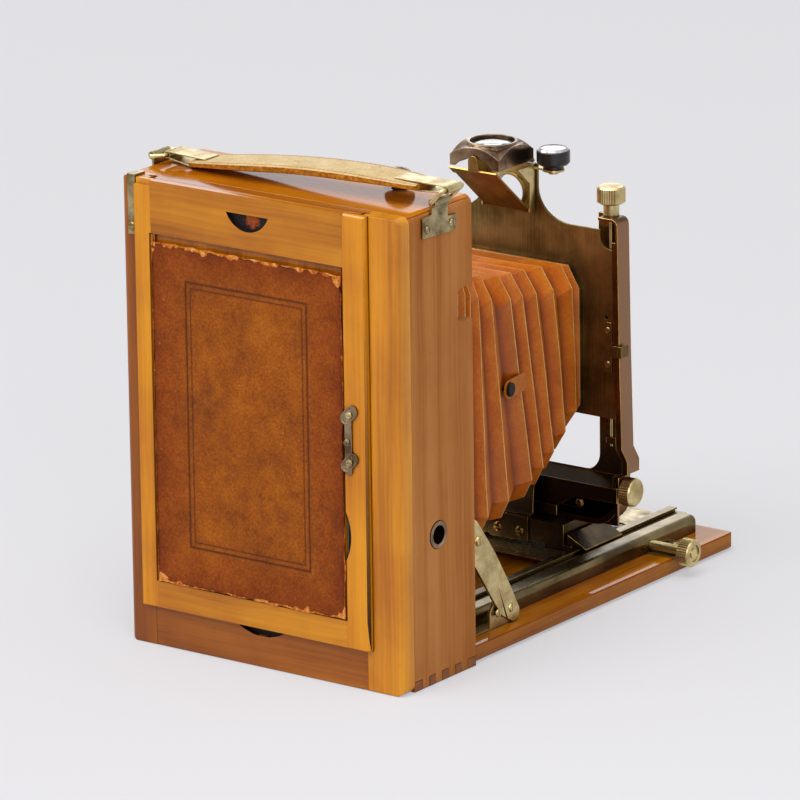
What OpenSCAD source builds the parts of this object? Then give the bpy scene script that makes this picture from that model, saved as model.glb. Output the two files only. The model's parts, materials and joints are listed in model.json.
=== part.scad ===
// Tropical plate camera, standing open with its bed down.
// Z is up, the lens looks along -Y, the ground glass is at +Y, and the
// origin is the centre of the body's bottom face. Inside the modules y = 0
// is the front face of the body.

/* [Body] */
// Width of the body
body_w = 140; // [134:1:150]
// Depth of the body, box and rear frame together
body_d = 51; // [48:0.5:56]
// Thickness of the two side boards
side_t = 5; // [4:0.5:6]
// Thickness of the top and bottom boards
board_t = 4.2; // [3.5:0.1:5]
// Depth of the rear frame
rear_frame_t = 8; // [7.5:0.5:9]
// Radius of the body's rounded edges
case_r = 3.6; // [3:0.2:4.2]
// Pitch of the finger joints
finger_pitch = 9; // [7:0.5:12]
// Width of one finger
finger_w = 4.5; // [3:0.5:5]
// Width of the left rear stile
left_stile_w = 13.6; // [12:0.2:16]
// Width of the right rear stile
right_stile_w = 17.6; // [16:0.2:20]
// Height of the bottom rail that the sliding back stands on
rail_h = 17.3; // [14:0.1:20]
// Outer radius of the tripod bush
bush_r = 5.7; // [5.2:0.1:7]
// Tapping radius of the tripod bush
bush_bore_r = 4; // [3:0.1:4.5]
// Height of the tripod bush
bush_z = 62.9; // [50:1:80]

/* [Sliding back] */
// Thickness of the sliding frame
frame_t = 3.4; // [3:0.1:4]
// Width of the picture opening
open_w = 97.2; // [90:0.5:100]
// Height of the picture opening
open_h = 148.9; // [140:0.5:152]
// How far the opening lies to the left of the middle
open_x = 4.4; // [0:0.1:6]
// Bottom rail of the sliding frame
frame_rail = 11.3; // [9:0.1:14]
// Top rail of the sliding frame
frame_head = 22.2; // [20:0.1:25]
// Left stile of the sliding frame
frame_left = 8.3; // [7:0.1:9]
// Right stile of the sliding frame
frame_right = 11; // [9.5:0.1:12]
// Thickness of the ground glass
glass_t = 1.3; // [1:0.1:1.5]
// Rabbet that holds the edge of the ground glass
glass_lap = 1.5; // [1:0.1:1.8]
// Thickness of the door's wooden core
door_t = 1.8; // [1.6:0.1:2]
// Thickness of the door's leather
leather_t = 0.5; // [0.4:0.1:0.8]
// Radius of the door's hinge pin
door_pin_r = 0.45; // [0.3:0.05:0.5]

/* [Bed] */
// Thickness of the bed
bed_t = 6.6; // [6:0.2:7]
// Height of the bed above the table
bed_lift = 1; // [0.6:0.1:1.5]
// How much narrower the bed is than the body, each side
bed_inset = 1.5; // [1:0.1:3]
// Gap between the bed and the body
bed_gap = 1.6; // [1.5:0.1:2]
// Radius of the hinge barrel
hinge_r = 1.4; // [1.2:0.1:1.4]
// Thickness of the struts
strut_t = 1.2; // [1:0.1:1.5]

/* [Rails] */
// Width of one outer rail
outer_rail_w = 8.5; // [7:0.1:9]
// Height of the outer rails
outer_rail_h = 7.4; // [7.2:0.1:8]
// Inner faces of the focusing rails, from the middle
rail_x = 38.5; // [37:0.5:39]
// Radius of the focusing shaft
shaft_r = 1.2; // [1:0.05:1.3]
// Teeth on each pinion
pinion_teeth = 10; // [10:1:10]
// Module of the rack and pinions
gear_module = 0.4; // [0.4:0.05:0.4]
// Radius of the focusing knob
focus_knob_r = 6; // [5:0.1:7]
// Length of the focusing knob
focus_knob_l = 6; // [4:0.5:8]
// Focusing travel forwards
focus_out = 55; // [40:1:56]

/* [Standard] */
// Front face of the standard, in front of the body
stand_y = 131.5; // [125:0.5:136]
// Half width of the base block
base_w = 34; // [32:0.5:34]
// Height of the base block over the focusing rails
base_h = 8.9; // [7:0.1:10]
// Travel of each pinch grip
pinch = 1.2; // [0.8:0.1:1.2]
// Thickness of the standard's sheet metal
sheet = 1.2; // [1:0.1:1.3]
// Depth of the standard's flange
flange_d = 9; // [8.5:0.1:10]
// Half width of the standard at the flare
flare_x = 61.6; // [60:0.2:62]
// Height of the standard
stand_h = 135; // [130:0.5:140]
// Half width of the standard's opening
throat_x = 42; // [40:0.5:43]
// Radius of the cross and rise screws' knobs
knob_r = 6.2; // [5:0.1:6.5]
// Radius of the cross screw
cross_r = 1.5; // [1:0.05:1.6]
// Radius of the rise screw
rise_r = 0.9; // [0.8:0.05:0.95]
// Half width of the rising panel
panel_x = 55.2; // [54:0.1:55.2]
// Radius of the shutter case
shutter_r = 27; // [22:0.5:30]
// Depth of the shutter case
shutter_d = 12; // [10:0.5:15]

/* [Finder] */
// Half width of the finder
finder_x = 12.6; // [12:0.1:13]
// Radius of the finder's front opening
finder_hole_r = 7; // [5:0.1:8]
// Radius of the finder's top lens
finder_lens_r = 9.5; // [8:0.1:10]
// Radius of the spirit level
level_r = 7.1; // [6:0.1:8]

/* [Handle] */
// Half length of the strap
strap_x = 57.4; // [52:0.2:58]
// How far the strap has slid towards its right loop
strap_off = 6.6; // [4:0.2:8]
// Half width of the strap in the middle
strap_w = 10.4; // [8:0.1:12]
// Thickness of the strap
strap_t = 2.8; // [2:0.1:3.5]
// Radius of the handle's wire
wire_r = 0.9; // [0.7:0.1:1]
// Travel of the bed's release button
button_travel = 2; // [1:0.5:3]
// Radius of the bed's release button
button_r = 6.2; // [5:0.1:7]

/* [Bellows] */
// Depth of one fold
fold_d = 3; // [2:0.2:4]
// Thickness of the bellows' skin
skin = 0.6; // [0.4:0.1:0.8]

/* [Hidden] */
$fn = 48;

// clearances
gap = 0.3;
run_gap = 0.05;
glide = 0.2;

// colours
honey = "#C07A28";
redwood = "#9A5A2C";
hide = "#7A431B";
tan = "#D9B27C";
brass = "#B99C5C";
dark_brass = "#5E4826";
black_metal = "#222220";
bellows_tan = "#BF6D26";
clear_glass = "#C9D8D6";

// places that follow from the sizes above
half_w = body_w / 2;
frame_z = rail_h + gap;
open_z = frame_z + frame_rail;
open_top = open_z + open_h;
body_h = open_top + frame_head;
wall_x = half_w - side_t;
box_d = body_d - rear_frame_t;
left_x = half_w - left_stile_w;
right_x = half_w - right_stile_w;
finger_n = floor(box_d / finger_pitch);
bed_z = bed_lift + bed_t;
bed_l = body_h - bed_z - 1;
bed_y = bed_gap + bed_l;
hinge_z = bed_z + 0.6;
seat_y = body_d - 1;
frame_y = seat_y + glide;
frame_out = frame_y + frame_t;
open_lo = open_x - open_w / 2;
open_hi = open_x + open_w / 2;
lens_z = (open_z + open_top) / 2;
door_y = frame_y + glass_t + 0.5;
door_axis_x = open_hi - 1.2;
door_axis_y = door_y + door_t / 2;
rail_y0 = bed_y - 9;
rail_y1 = 14;
outer_x = rail_x + 8;
pitch_r = gear_module * pinion_teeth / 2;
shaft_z = bed_z + 2.8;
shaft_y = bed_y - 43;
rack_z = shaft_z + pitch_r;
inner_z = rack_z + 0.8;
inner_h = 2.3;
lip_t = 0.7;
deck_z = inner_z + inner_h;
base_y0 = stand_y + 11.5;
base_y1 = stand_y - 17;
base_z = deck_z + gap;
base_top = base_z + base_h;
foot_z = base_top + gap;
stand_top = foot_z + stand_h;
sill_z = foot_z + 21;
cross_z = foot_z + 15.7;
cross_y = stand_y - 4.5;
panel_y0 = stand_y - 3.9;
panel_y1 = panel_y0 - sheet;
rise_y = panel_y0 + 1.35;
rise_x = panel_x - 5.7;
clip_z = lens_z - 0.4;
tab_z = lens_z + 74.4;
mirror_z = tab_z - 20.6;
mirror_y = panel_y1 - 2.4;
lid_y0 = panel_y0 - 1.2;
lid_y1 = lid_y0 - 26.9;
lid_z = tab_z + 1.8;
tab_x = finder_x + 0.9;
level_x = tab_x + level_r + 0.8;
level_z = tab_z - 1.1;
front_w = 36;
front_h = 34.4;
front_z = lens_z - 1.3;
rear_w = 58;
rear_h = body_h / 2 - 11;
rear_z = body_h / 2 + 1;
bellows_y0 = 38.5;
bellows_y1 = panel_y1 - 2;

// A block between two corners
module block(lo, hi) {
    translate(lo) cube(hi - lo);
}

// A plan outline pushed along Y from y0 to y1, drawn as (x, z)
module along_y(y0, y1) {
    translate([0, y1, 0]) rotate([90, 0, 0]) linear_extrude(y1 - y0) children();
}

// A side outline pushed along X from x0 to x1, drawn as (y, z)
module along_x(x0, x1) {
    translate([x0, 0, 0]) rotate([90, 0, 90]) linear_extrude(x1 - x0) children();
}

module rod_x(x0, x1, y, z, r) {
    translate([x0, y, z]) rotate([0, 90, 0]) cylinder(h = x1 - x0, r = r);
}

module rod_y(y0, y1, x, z, r) {
    translate([x, y1, z]) rotate([90, 0, 0]) cylinder(h = y1 - y0, r = r);
}

module rod_z(z0, z1, x, y, r) {
    translate([x, y, z0]) cylinder(h = z1 - z0, r = r);
}

// Both the right half and its mirror image
module pair() {
    children();
    mirror([1, 0, 0]) children();
}

// The body's front face is half the depth in front of the origin
module placed() {
    translate([0, -body_d / 2, 0]) children();
}

// A rectangle with round corners, from its lower left corner
module round_rect(w, h, r) {
    translate([r, 0]) square([w - 2 * r, h]);
    translate([0, r]) square([w, h - 2 * r]);
    for (x = [r, w - r], y = [r, h - r]) translate([x, y]) circle(r);
}

// Points of an arc
function arc(cx, cy, r, a0, a1, n = 8) =
    [for (i = [0 : n]) let (a = a0 + (a1 - a0) * i / n) [cx + r * cos(a), cy + r * sin(a)]];

// A knurled disc outline
module knurl(r, n = 36, depth = 0.3) {
    polygon([for (i = [0 : 2 * n - 1]) let (a = 180 * i / n, q = r - depth * (i % 2))
        [q * cos(a), q * sin(a)]]);
}

// A slotted countersunk screw head that stands out along +Z
module screw_head(r = 2, h = 0.6) {
    difference() {
        cylinder(h = h, r1 = r, r2 = r * 0.8);
        translate([-r, -0.2, h - 0.3]) cube([2 * r, 0.4, 1]);
    }
}

// Body

function finger_y(i) = (box_d - (finger_n - 1) * finger_pitch) / 2 + i * finger_pitch;

// The side boards' fingers between two heights
module side_fingers(z0, z1) {
    for (i = [0 : finger_n - 1])
        block([wall_x, finger_y(i) - finger_w / 2, z0], [half_w, finger_y(i) + finger_w / 2, z1]);
}

// Front view of the body with its edges rounded
module case_outline() {
    translate([-half_w, 0]) round_rect(2 * half_w, body_h, case_r);
}

// The top corners are mitred, the bottom ones finger-jointed
module side_shape() {
    along_y(0, box_d) intersection() {
        case_outline();
        polygon([[wall_x, board_t], [half_w, board_t], [half_w, body_h],
            [wall_x, body_h - board_t]]);
    }
    side_fingers(0, board_t);
}

module side_left() {
    color(honey) placed() side_shape();
}

// The right side has the tripod bush and a finger notch in its front edge
module side_right() {
    notch_d = 10.3;
    notch_lo = body_h - 51.7;
    notch_hi = body_h - 37.3;
    color(redwood) placed() difference() {
        mirror([1, 0, 0]) side_shape();
        rod_x(-half_w - 1, -wall_x + 1, body_d / 2, bush_z, bush_r + run_gap);
        along_x(-half_w - 1, -wall_x + 1) translate([-notch_d, notch_lo])
            round_rect(2 * notch_d, notch_hi - notch_lo, 4);
    }
}

// The release button goes down through the top board
button_x = -39.5;
button_y = 7.4;
module top_board() {
    color(honey) placed() difference() {
        along_y(0, box_d) intersection() {
            case_outline();
            polygon([[-wall_x, body_h - board_t], [wall_x, body_h - board_t],
                [half_w, body_h], [-half_w, body_h]]);
        }
        rod_z(body_h - board_t - 1, body_h + 1, button_x, button_y, 3 + gap);
    }
}

// The bottom board carries the cleat under the hinge's rear leaf
module bottom_board() {
    color(honey) placed() {
        difference() {
            block([-half_w, 0, 0], [half_w, box_d, board_t]);
            pair() side_fingers(-1, board_t + 1);
        }
        block([-48, bed_gap, board_t], [48, 12, bed_z]);
    }
}

// Grooves for the runners of the sliding back
groove_d = 1.9;
groove_y0 = seat_y - 4;
groove_y1 = seat_y - 2.4;
strip_y = frame_y - 0.8;

// Plan of one rear stile, from its inner face outwards
module stile_plan(w, x_in, frame_edge) {
    r = 3;
    difference() {
        union() {
            translate([x_in, box_d]) square([w - r, rear_frame_t]);
            translate([x_in, box_d]) square([w, rear_frame_t - r]);
            translate([x_in + w - r, body_d - r]) circle(r);
        }
        translate([x_in - 1, groove_y0]) square([groove_d + 1, groove_y1 - groove_y0]);
        translate([x_in - 1, seat_y]) square([frame_edge + gap - x_in + 1, 2]);
    }
}

// Plan of the stile's foot, below the sliding back
module stile_foot(w, x_in) {
    r = 3;
    translate([x_in, box_d]) square([w - r, rear_frame_t]);
    translate([x_in, box_d]) square([w, rear_frame_t - r]);
    translate([x_in + w - r, body_d - r]) circle(r);
}

module rear_stiles() {
    color(honey) placed() intersection() {
        along_y(0, body_d + 1) case_outline();
        union() {
        linear_extrude(rail_h) stile_foot(left_stile_w, left_x);
        translate([0, 0, rail_h]) linear_extrude(body_h - rail_h)
            stile_plan(left_stile_w, left_x, open_hi + frame_left);
        mirror([1, 0, 0]) {
            linear_extrude(rail_h) stile_foot(right_stile_w, right_x);
            translate([0, 0, rail_h]) linear_extrude(body_h - rail_h)
                stile_plan(right_stile_w, right_x, frame_right - open_lo);
        }
        }
    }
}

// The bottom rail has a thumb notch; the head rail lets the runners pass
module rear_rails() {
    notch_w = 25.2;
    notch_h = 4;
    notch_r = (notch_w * notch_w / 4 + notch_h * notch_h) / (2 * notch_h);
    head_h = 18;
    runner_w = 2.2;
    color(honey) placed() {
        difference() {
            union() {
                block([-right_x, box_d, 0], [left_x, body_d, rail_h]);
                block([-right_x, box_d, rail_h], [left_x, seat_y, rail_h + 9]);
            }
            rod_y(seat_y - 1.5, body_d + 1, 1.8, rail_h + notch_r - notch_h, notch_r);
        }
        difference() {
            block([-right_x, box_d, body_h - head_h], [left_x, seat_y, body_h]);
            block([left_x - runner_w, groove_y0 - gap, 0], [left_x + 1, body_d, body_h + 1]);
            block([-right_x - 1, groove_y0 - gap, 0], [runner_w - right_x, body_d, body_h + 1]);
            block([open_hi, strip_y - gap, 0], [left_x + 1, body_d, body_h + 1]);
            block([-right_x - 1, strip_y - gap, 0], [open_lo, body_d, body_h + 1]);
        }
    }
}

rear_lap = 4;
module bellows_rear_frame() {
    color(black_metal) placed() difference() {
        block([-rear_w - 2, bellows_y0, rear_z - rear_h - 4], [rear_w + 2, box_d, rear_z + rear_h + 2]);
        block([open_lo - rear_lap, bellows_y0 - 1, open_z - rear_lap - 2],
            [open_hi + rear_lap - 1, box_d + 1, open_top + rear_lap + 2]);
    }
}

module tripod_bush() {
    color(brass) placed() difference() {
        union() {
            rod_x(-half_w - glide, -wall_x, body_d / 2, bush_z, bush_r);
            rod_x(-wall_x, 2.5 - wall_x, body_d / 2, bush_z, bush_r + 2.5);
        }
        rod_x(-half_w - 1, 4 - wall_x, body_d / 2, bush_z, bush_bore_r);
    }
}

// Handle

// Outline of the plate on the side of the body, drawn as (y, z)
module handle_plate_outline() {
    h = body_h - 2.2;
    polygon([[12.6, h - 9.5], [35.2, h - 8.7], [35.1, h], [28.8, h], [28.8, body_h + 1.5],
        [17.9, body_h + 1.5], [17.9, h - 2.6], [11.8, h - 3]]);
}

plate_t = 1;
loop_y0 = 17.9;
loop_y1 = 28.8;
low_bar = [half_w + plate_t, body_h + 2.6];
high_bar_right = [half_w + 7.5, body_h + 9];
high_bar_left = [half_w - 6.5, body_h + 3.9];

module handle_plates() {
    color(dark_brass) placed() pair() {
        difference() {
            along_x(half_w, half_w + plate_t) handle_plate_outline();
            for (p = [[31.7, body_h - 7.5], [15.3, body_h - 8.2]])
                rod_x(half_w - 1, half_w + 2, p[0], p[1], 1.4);
        }
        difference() {
            rod_y(loop_y0, loop_y1, low_bar[0], low_bar[1], wire_r + 0.9);
            rod_y(loop_y0 - 1, loop_y1 + 1, low_bar[0], low_bar[1], wire_r + run_gap);
        }
    }
}

// A closed wire loop between two bars given as (x, z)
module wire_loop(a, b) {
    d = norm(b - a);
    y0 = loop_y0 - 1.6;
    y1 = loop_y1 + 1.6;
    bend = wire_r + 0.5;
    translate([a[0], 0, a[1]]) rotate([0, -atan2(b[1] - a[1], b[0] - a[0]), 0]) {
        for (x = [0, d]) rod_y(y0 + bend, y1 - bend, x, 0, wire_r);
        for (y = [y0, y1]) rod_x(bend, d - bend, y, 0, wire_r);
        for (c = [[bend, y0 + bend, 180], [d - bend, y0 + bend, 270],
            [d - bend, y1 - bend, 0], [bend, y1 - bend, 90]])
            translate([c[0], c[1], 0]) rotate(c[2]) rotate_extrude(angle = 90)
                translate([bend, 0]) circle(wire_r);
    }
}

module handle_loops() {
    color(brass) placed() {
        wire_loop(low_bar, high_bar_left);
        mirror([1, 0, 0]) wire_loop(low_bar, high_bar_right);
    }
}

// A sheet ferrule: two leaves that hold the strap's end and an eye round the wire
module ferrule(bar, end_x, leaf_x, low_z, top_z) {
    difference() {
        rod_y(loop_y0 + 0.6, loop_y1 - 0.6, bar[0], bar[1], wire_r + 0.8);
        rod_y(loop_y0, loop_y1, bar[0], bar[1], wire_r + run_gap);
    }
    t = 0.6;
    x1 = bar[0] - wire_r;
    along_y(loop_y0 + 0.6, loop_y1 - 0.6) {
        polygon([[leaf_x, top_z], [leaf_x, top_z + t], [x1, bar[1] + wire_r + 0.7],
            [x1, bar[1] + wire_r + 0.1]]);
        polygon([[end_x - 2, low_z - t], [end_x - 2, low_z], [end_x + 1, low_z], [x1, bar[1] - wire_r - 0.1],
            [x1, bar[1] - wire_r - 0.7], [end_x + 1, low_z - t]]);
    }
}

strap_left_z = body_h + 0.9;
strap_h = strap_t * 0.8;
strap_right_z = body_h + 7.2;
module handle_ferrules() {
    color(dark_brass) placed() {
        left = strap_x - strap_off;
        right = strap_x + strap_off;
        ferrule(high_bar_left, left, left - 7, strap_path(left) - run_gap,
            strap_path(left - 7) + strap_h + run_gap);
        mirror([1, 0, 0]) ferrule(high_bar_right, right, right - 12, strap_path(-right) - run_gap,
            strap_path(12 - right) + strap_h + run_gap);
    }
}

// The strap: its side profile cut to its plan
function strap_path(x) = let (u = (x + strap_off + strap_x) / (2 * strap_x))
    strap_right_z + (strap_left_z - strap_right_z) * u * u * (1.8 - 0.8 * u)
    + 2.2 * sin(180 * u);
module handle_strap() {
    n = 18;
    xs = [for (i = [0 : n]) -strap_x - strap_off + 2 * strap_x * i / n];
    y = (loop_y0 + loop_y1) / 2;
    color(tan) placed() intersection() {
        along_y(y - 14, y + 14) polygon(concat(
            [for (x = xs) [x, strap_path(x)]],
            [for (i = [n : -1 : 0]) [xs[i], strap_path(xs[i]) + strap_h]]));
        linear_extrude(2 * body_h) polygon(concat(
            [for (x = xs) [x, y - strap_plan(x)]],
            [for (i = [n : -1 : 0]) [xs[i], y + strap_plan(xs[i])]]));
    }
}
function strap_plan(x) =
    5 + (strap_w - 5) * sqrt(max(0, 1 - pow((x + strap_off) / (strap_x + 2), 4)));

// The spring catch holds the sliding back down at its top left corner
module back_spring_catch() {
    x0 = open_hi + frame_left + 2 * gap;
    x1 = half_w - 4;
    color(brass) placed() {
        block([x0, body_d, body_h - 24.6], [x1, body_d + 0.9, body_h + 0.9]);
        block([x0, box_d + 2, body_h], [x1, body_d, body_h + 0.9]);
        translate([(x0 + x1) / 2, body_d + 0.9, body_h - 21.2]) rotate([-90, 0, 0])
            screw_head(1.8);
    }
}

module case_screws() {
    color(brass) placed() {
        pair() for (p = [[31.7, body_h - 7.5], [15.3, body_h - 8.2]])
            translate([half_w, p[0], p[1]]) rotate([0, 90, 0]) {
                cylinder(h = plate_t, r = 1.35);
                translate([0, 0, plate_t]) screw_head(1.9, 0.7);
            }
        pair() for (y = [-13, -27])
            translate([outer_x + outer_rail_w + 2.6, y, bed_z + 0.8]) screw_head(1.6);
        translate([-57.5, -shaft_y - 14, bed_z + 0.5]) screw_head(1.8);
    }
}

// Bed

module bed() {
    w = half_w - bed_inset;
    r = 2.5;
    color(honey) placed() translate([0, 0, bed_lift]) linear_extrude(bed_t) {
        translate([-w, r - bed_y]) square([2 * w, bed_l - r]);
        translate([r - w, -bed_y]) square([2 * (w - r), bed_l]);
        for (x = [r - w, w - r]) translate([x, r - bed_y]) circle(r);
    }
}

// Two leaves, five knuckles and a pin
module bed_hinge() {
    leaf = 0.8;
    l = 96;
    n = 5;
    k = l / n;
    color(brass) placed() {
        for (i = [0 : n - 1]) {
            x = -l / 2 + i * k;
            side = i % 2 == 0 ? -1 : 1;
            difference() {
                union() {
                    rod_x(x + 0.1, x + k - 0.1, 0, hinge_z, hinge_r);
                    block([x + 0.1, min(0, side * 9), bed_z], [x + k - 0.1, max(0, side * 9), bed_z + leaf]);
                }
                rod_x(x, x + k, 0, hinge_z, 0.65);
            }
        }
        block([-l / 2, -9, bed_z], [l / 2, -hinge_r - 1, bed_z + leaf]);
        block([-l / 2, hinge_r + 1, bed_z], [l / 2, 9, bed_z + leaf]);
        rod_x(-l / 2, l / 2, 0, hinge_z, 0.6);
    }
}

// Outline of a strut, drawn as (y, z): the arm runs from its stud inside the
// body down to the bracket on the bed
strut_x = 61.4;
stud = [8, 72];
strut_rivets = [[-35.4, 14.4], [-26.1, 14.3]];
module strut_outline() {
    polygon(concat(
        arc(stud[0], stud[1], 6, 60, 215, 8),
        [[-11.9, 57.7], [-24.5, 41], [-34.5, 25]],
        arc(-37.5, 12, 4, 170, 290, 5),
        [[-29, 12.5], [-22.5, 21], [-16, 30.5], [-11.5, 36.7], [-4, 46.5], [6, 60]]));
}

module bed_struts() {
    color(brass) placed() pair() {
        difference() {
            along_x(strut_x, strut_x + strut_t) strut_outline();
            rod_x(strut_x - 1, strut_x + 3, stud[0], stud[1], 1.25);
            for (p = strut_rivets) rod_x(strut_x - 1, strut_x + 3, p[0], p[1], 1.05);
            along_x(strut_x - 1, strut_x + 3) polygon([[-26.8, 24.8], [-30.9, 15.3],
                [-34.3, 7], [-33.3, 7], [-30.3, 15.1]]);
        }
        rod_x(strut_x - 0.6, wall_x, stud[0], stud[1], 1.2);
        rod_x(strut_x - 1.2, strut_x - 0.1, stud[0], stud[1], 2.2);
        for (p = strut_rivets) {
            rod_x(strut_x - 1.4, strut_x + strut_t + 0.2, p[0], p[1], 1);
            translate([strut_x + strut_t, p[0], p[1]]) rotate([0, 90, 0]) screw_head(1.9);
        }
        translate([strut_x + strut_t, -12.4, 49]) rotate([0, 90, 0]) screw_head(2.2, 1);
    }
}

// Angle brackets that carry the struts on the bed
module strut_brackets() {
    t = 1.2;
    ear = strut_x - t - 0.1;
    color(brass) placed() pair() difference() {
        union() {
            block([outer_x + outer_rail_w + 0.1, -40, bed_z], [ear + t, -8, bed_z + 0.8]);
            along_x(ear, ear + t) polygon([[-40, bed_z], [-22, bed_z], [-22, 15],
                [-25, 18.6], [-34, 18.6], [-40, 13]]);
        }
        for (p = strut_rivets) rod_x(ear - 1, ear + 3, p[0], p[1], 1.05);
    }
}

// Rails

// Section of one outer rail, drawn as (x, z): its groove takes the tongue
module outer_rail_section() {
    r = 3;
    w = outer_rail_w;
    tongue_z = inner_z - bed_z;
    difference() {
        polygon(concat([[0, 0], [w, 0], [w, outer_rail_h - r]],
            arc(w - r, outer_rail_h - r, r, 0, 90, 6),
            [[0.5, outer_rail_h], [0, outer_rail_h - 0.5]]));
        translate([-1, tongue_z - glide]) square([2.5, lip_t + 2 * glide]);
    }
}

module outer_rails() {
    color(dark_brass) placed() pair() difference() {
        translate([outer_x, 0, bed_z]) along_y(-rail_y0, -rail_y1) outer_rail_section();
        rod_x(outer_x - 1, outer_x + outer_rail_w + 1, -shaft_y, shaft_z, shaft_r + run_gap);
    }
}

// The tube that carries the focusing shaft at the edge of the bed
module shaft_bearing() {
    x0 = outer_x + outer_rail_w + 0.05;
    x1 = half_w - 0.6;
    edge = half_w - bed_inset;
    color(dark_brass) placed() mirror([1, 0, 0]) difference() {
        union() {
            rod_x(x0, x1, -shaft_y, shaft_z, shaft_r + 1);
            block([x0, -shaft_y - 1, bed_z], [edge, 1 - shaft_y, shaft_z]);
            block([x0, -shaft_y - 17, bed_z], [x0 + 5, 4 - shaft_y, bed_z + 0.5]);
            block([x0, -shaft_y - 4, bed_z], [edge, 4 - shaft_y, bed_z + 0.5]);
        }
        rod_x(x0 - 1, x1 + 1, -shaft_y, shaft_z, shaft_r + run_gap);
    }
}

module bed_release_button() {
    neck = 3;
    drop = button_travel + gap;
    color(redwood) placed() translate([button_x, button_y, body_h]) {
        translate([0, 0, drop]) rotate_extrude() intersection() {
            square([button_r, 10]);
            union() {
                square([button_r, 1.2]);
                translate([0, 1.2]) scale([1, 0.85]) circle(button_r);
            }
        }
        translate([0, 0, -board_t - 2.5]) cylinder(h = board_t + 2.5 + drop, r = neck);
    }
}

// Focusing carriage

// Section of a focusing rail, drawn as (x, z): a foot with a tongue, a web
// and a top flange that the standard rides in
module inner_rail_section() {
    web = 1.9;
    top_w = 4.1;
    square([9.1, lip_t]);
    translate([web, 0]) square([1.3, inner_h]);
    translate([0, inner_h - 0.8]) square([top_w, 0.8]);
}

module focus_rails() {
    color(dark_brass) placed() pair()
        translate([rail_x, 0, inner_z]) along_y(5 - bed_y, -rail_y1) inner_rail_section();
}

tooth_pitch = PI * gear_module;
addendum = 0.75 * gear_module;
rack_x0 = rail_x + 1.7;
rack_x1 = rack_x0 + 3.2;

// Section of a rack, drawn as (y, z), with teeth that point down
module rack_section() {
    half = tooth_pitch * 0.21;
    slope = addendum * tan(20);
    root = 1.2 * gear_module;
    n0 = floor(8 / tooth_pitch);
    n1 = floor((focus_out + 4) / tooth_pitch);
    y0 = -shaft_y - (n0 + 0.5) * tooth_pitch;
    y1 = -shaft_y + (n1 + 0.5) * tooth_pitch;
    translate([y0, rack_z + root]) square([y1 - y0, inner_z - rack_z - root]);
    for (i = [-n0 : n1]) translate([-shaft_y + i * tooth_pitch, rack_z])
        polygon([[-half - slope, root], [slope - half, -addendum], [half - slope, -addendum],
            [half + slope, root]]);
}

module focus_racks() {
    color(brass) placed() pair() along_x(rack_x0, rack_x1) rack_section();
}

// The plate that ties the two focusing rails together
module focus_plate() {
    color(brass) placed() difference() {
        block([0.3 - rack_x0, 10 - bed_y, inner_z - 0.8], [rack_x0 - 0.3, 31.5 - stand_y, inner_z]);
        rod_z(0, deck_z, 7.5 - rail_x, 36 - bed_y, 5);
    }
}

// One tooth gap is at the top, where the rack's tooth stands
module pinion_outline() {
    n = pinion_teeth;
    tip = pitch_r + 0.75 * gear_module;
    root = pitch_r - 1.2 * gear_module;
    step = 360 / n;
    polygon([for (i = [0 : n - 1]) let (a = 90 + (i + 0.5) * step)
        for (p = [[root, -0.36], [pitch_r, -0.215], [tip, -0.07], [tip, 0.07], [pitch_r, 0.215],
            [root, 0.36]])
            [p[0] * cos(a + p[1] * step), p[0] * sin(a + p[1] * step)]]);
}

module focus_shaft() {
    color(brass) placed() {
        rod_x(-half_w - 1, outer_x + outer_rail_w - 0.2, -shaft_y, shaft_z, shaft_r);
        pair() translate([0, -shaft_y, shaft_z]) along_x(rack_x0, rack_x1) pinion_outline();
    }
}

// A milled knob that points along -X from its inner face
module milled_knob(r, l, recess = 0) {
    rotate([0, -90, 0]) difference() {
        union() {
            translate([0, 0, 0.6]) linear_extrude(l - 1.2) knurl(r);
            cylinder(h = 0.6, r1 = r - 0.9, r2 = r - 0.3);
            translate([0, 0, l - 0.6]) cylinder(h = 0.6, r1 = r - 0.3, r2 = r - 0.8);
        }
        if (recess > 0) translate([0, 0, l - recess]) difference() {
            cylinder(h = 1, r = r * 0.62);
            translate([0, 0, -1]) cylinder(h = 3, r = r * 0.36);
        }
    }
}

module focus_knob() {
    color(brass) placed() difference() {
        union() {
            translate([-half_w - 1, -shaft_y, shaft_z]) milled_knob(focus_knob_r, focus_knob_l, 0.5);
            rod_x(-half_w - 1, -half_w, -shaft_y, shaft_z, 3.4);
        }
        rod_x(-half_w - 1.01, 0, -shaft_y, shaft_z, shaft_r);
    }
}

// Standard base

grip_pin_r = 1.2;
grip_pins = [[7, 2.4], [22, 2.4]];
module base_block() {
    color(dark_brass) placed() {
        difference() {
            block([-base_w, -base_y0, base_z], [base_w, -base_y1, base_top]);
            for (p = grip_pins)
                pair() rod_x(base_w - 8.5, base_w + 1, p[0] - base_y0, base_z + p[1],
                    grip_pin_r + run_gap);
            for (x = [-tail_pitch, tail_pitch])
                rod_y(-base_y1 - 4, 1 - base_y1, tail_x + x, base_top - 6, 1.25);
        }
        difference() {
            union() {
                block([-rail_x + 0.4, -base_y0, inner_z + gap], [rail_x - 0.4, -base_y1, base_z]);
                block([-rail_x - 1.4, -base_y0, inner_z + lip_t + glide],
                    [rail_x + 1.4, -base_y1, deck_z - 0.8 - glide]);
            }
            block([-24, -base_y0 - 1, 0], [24, 1 - base_y1, base_z - 0.9]);
        }
    }
}

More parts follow.
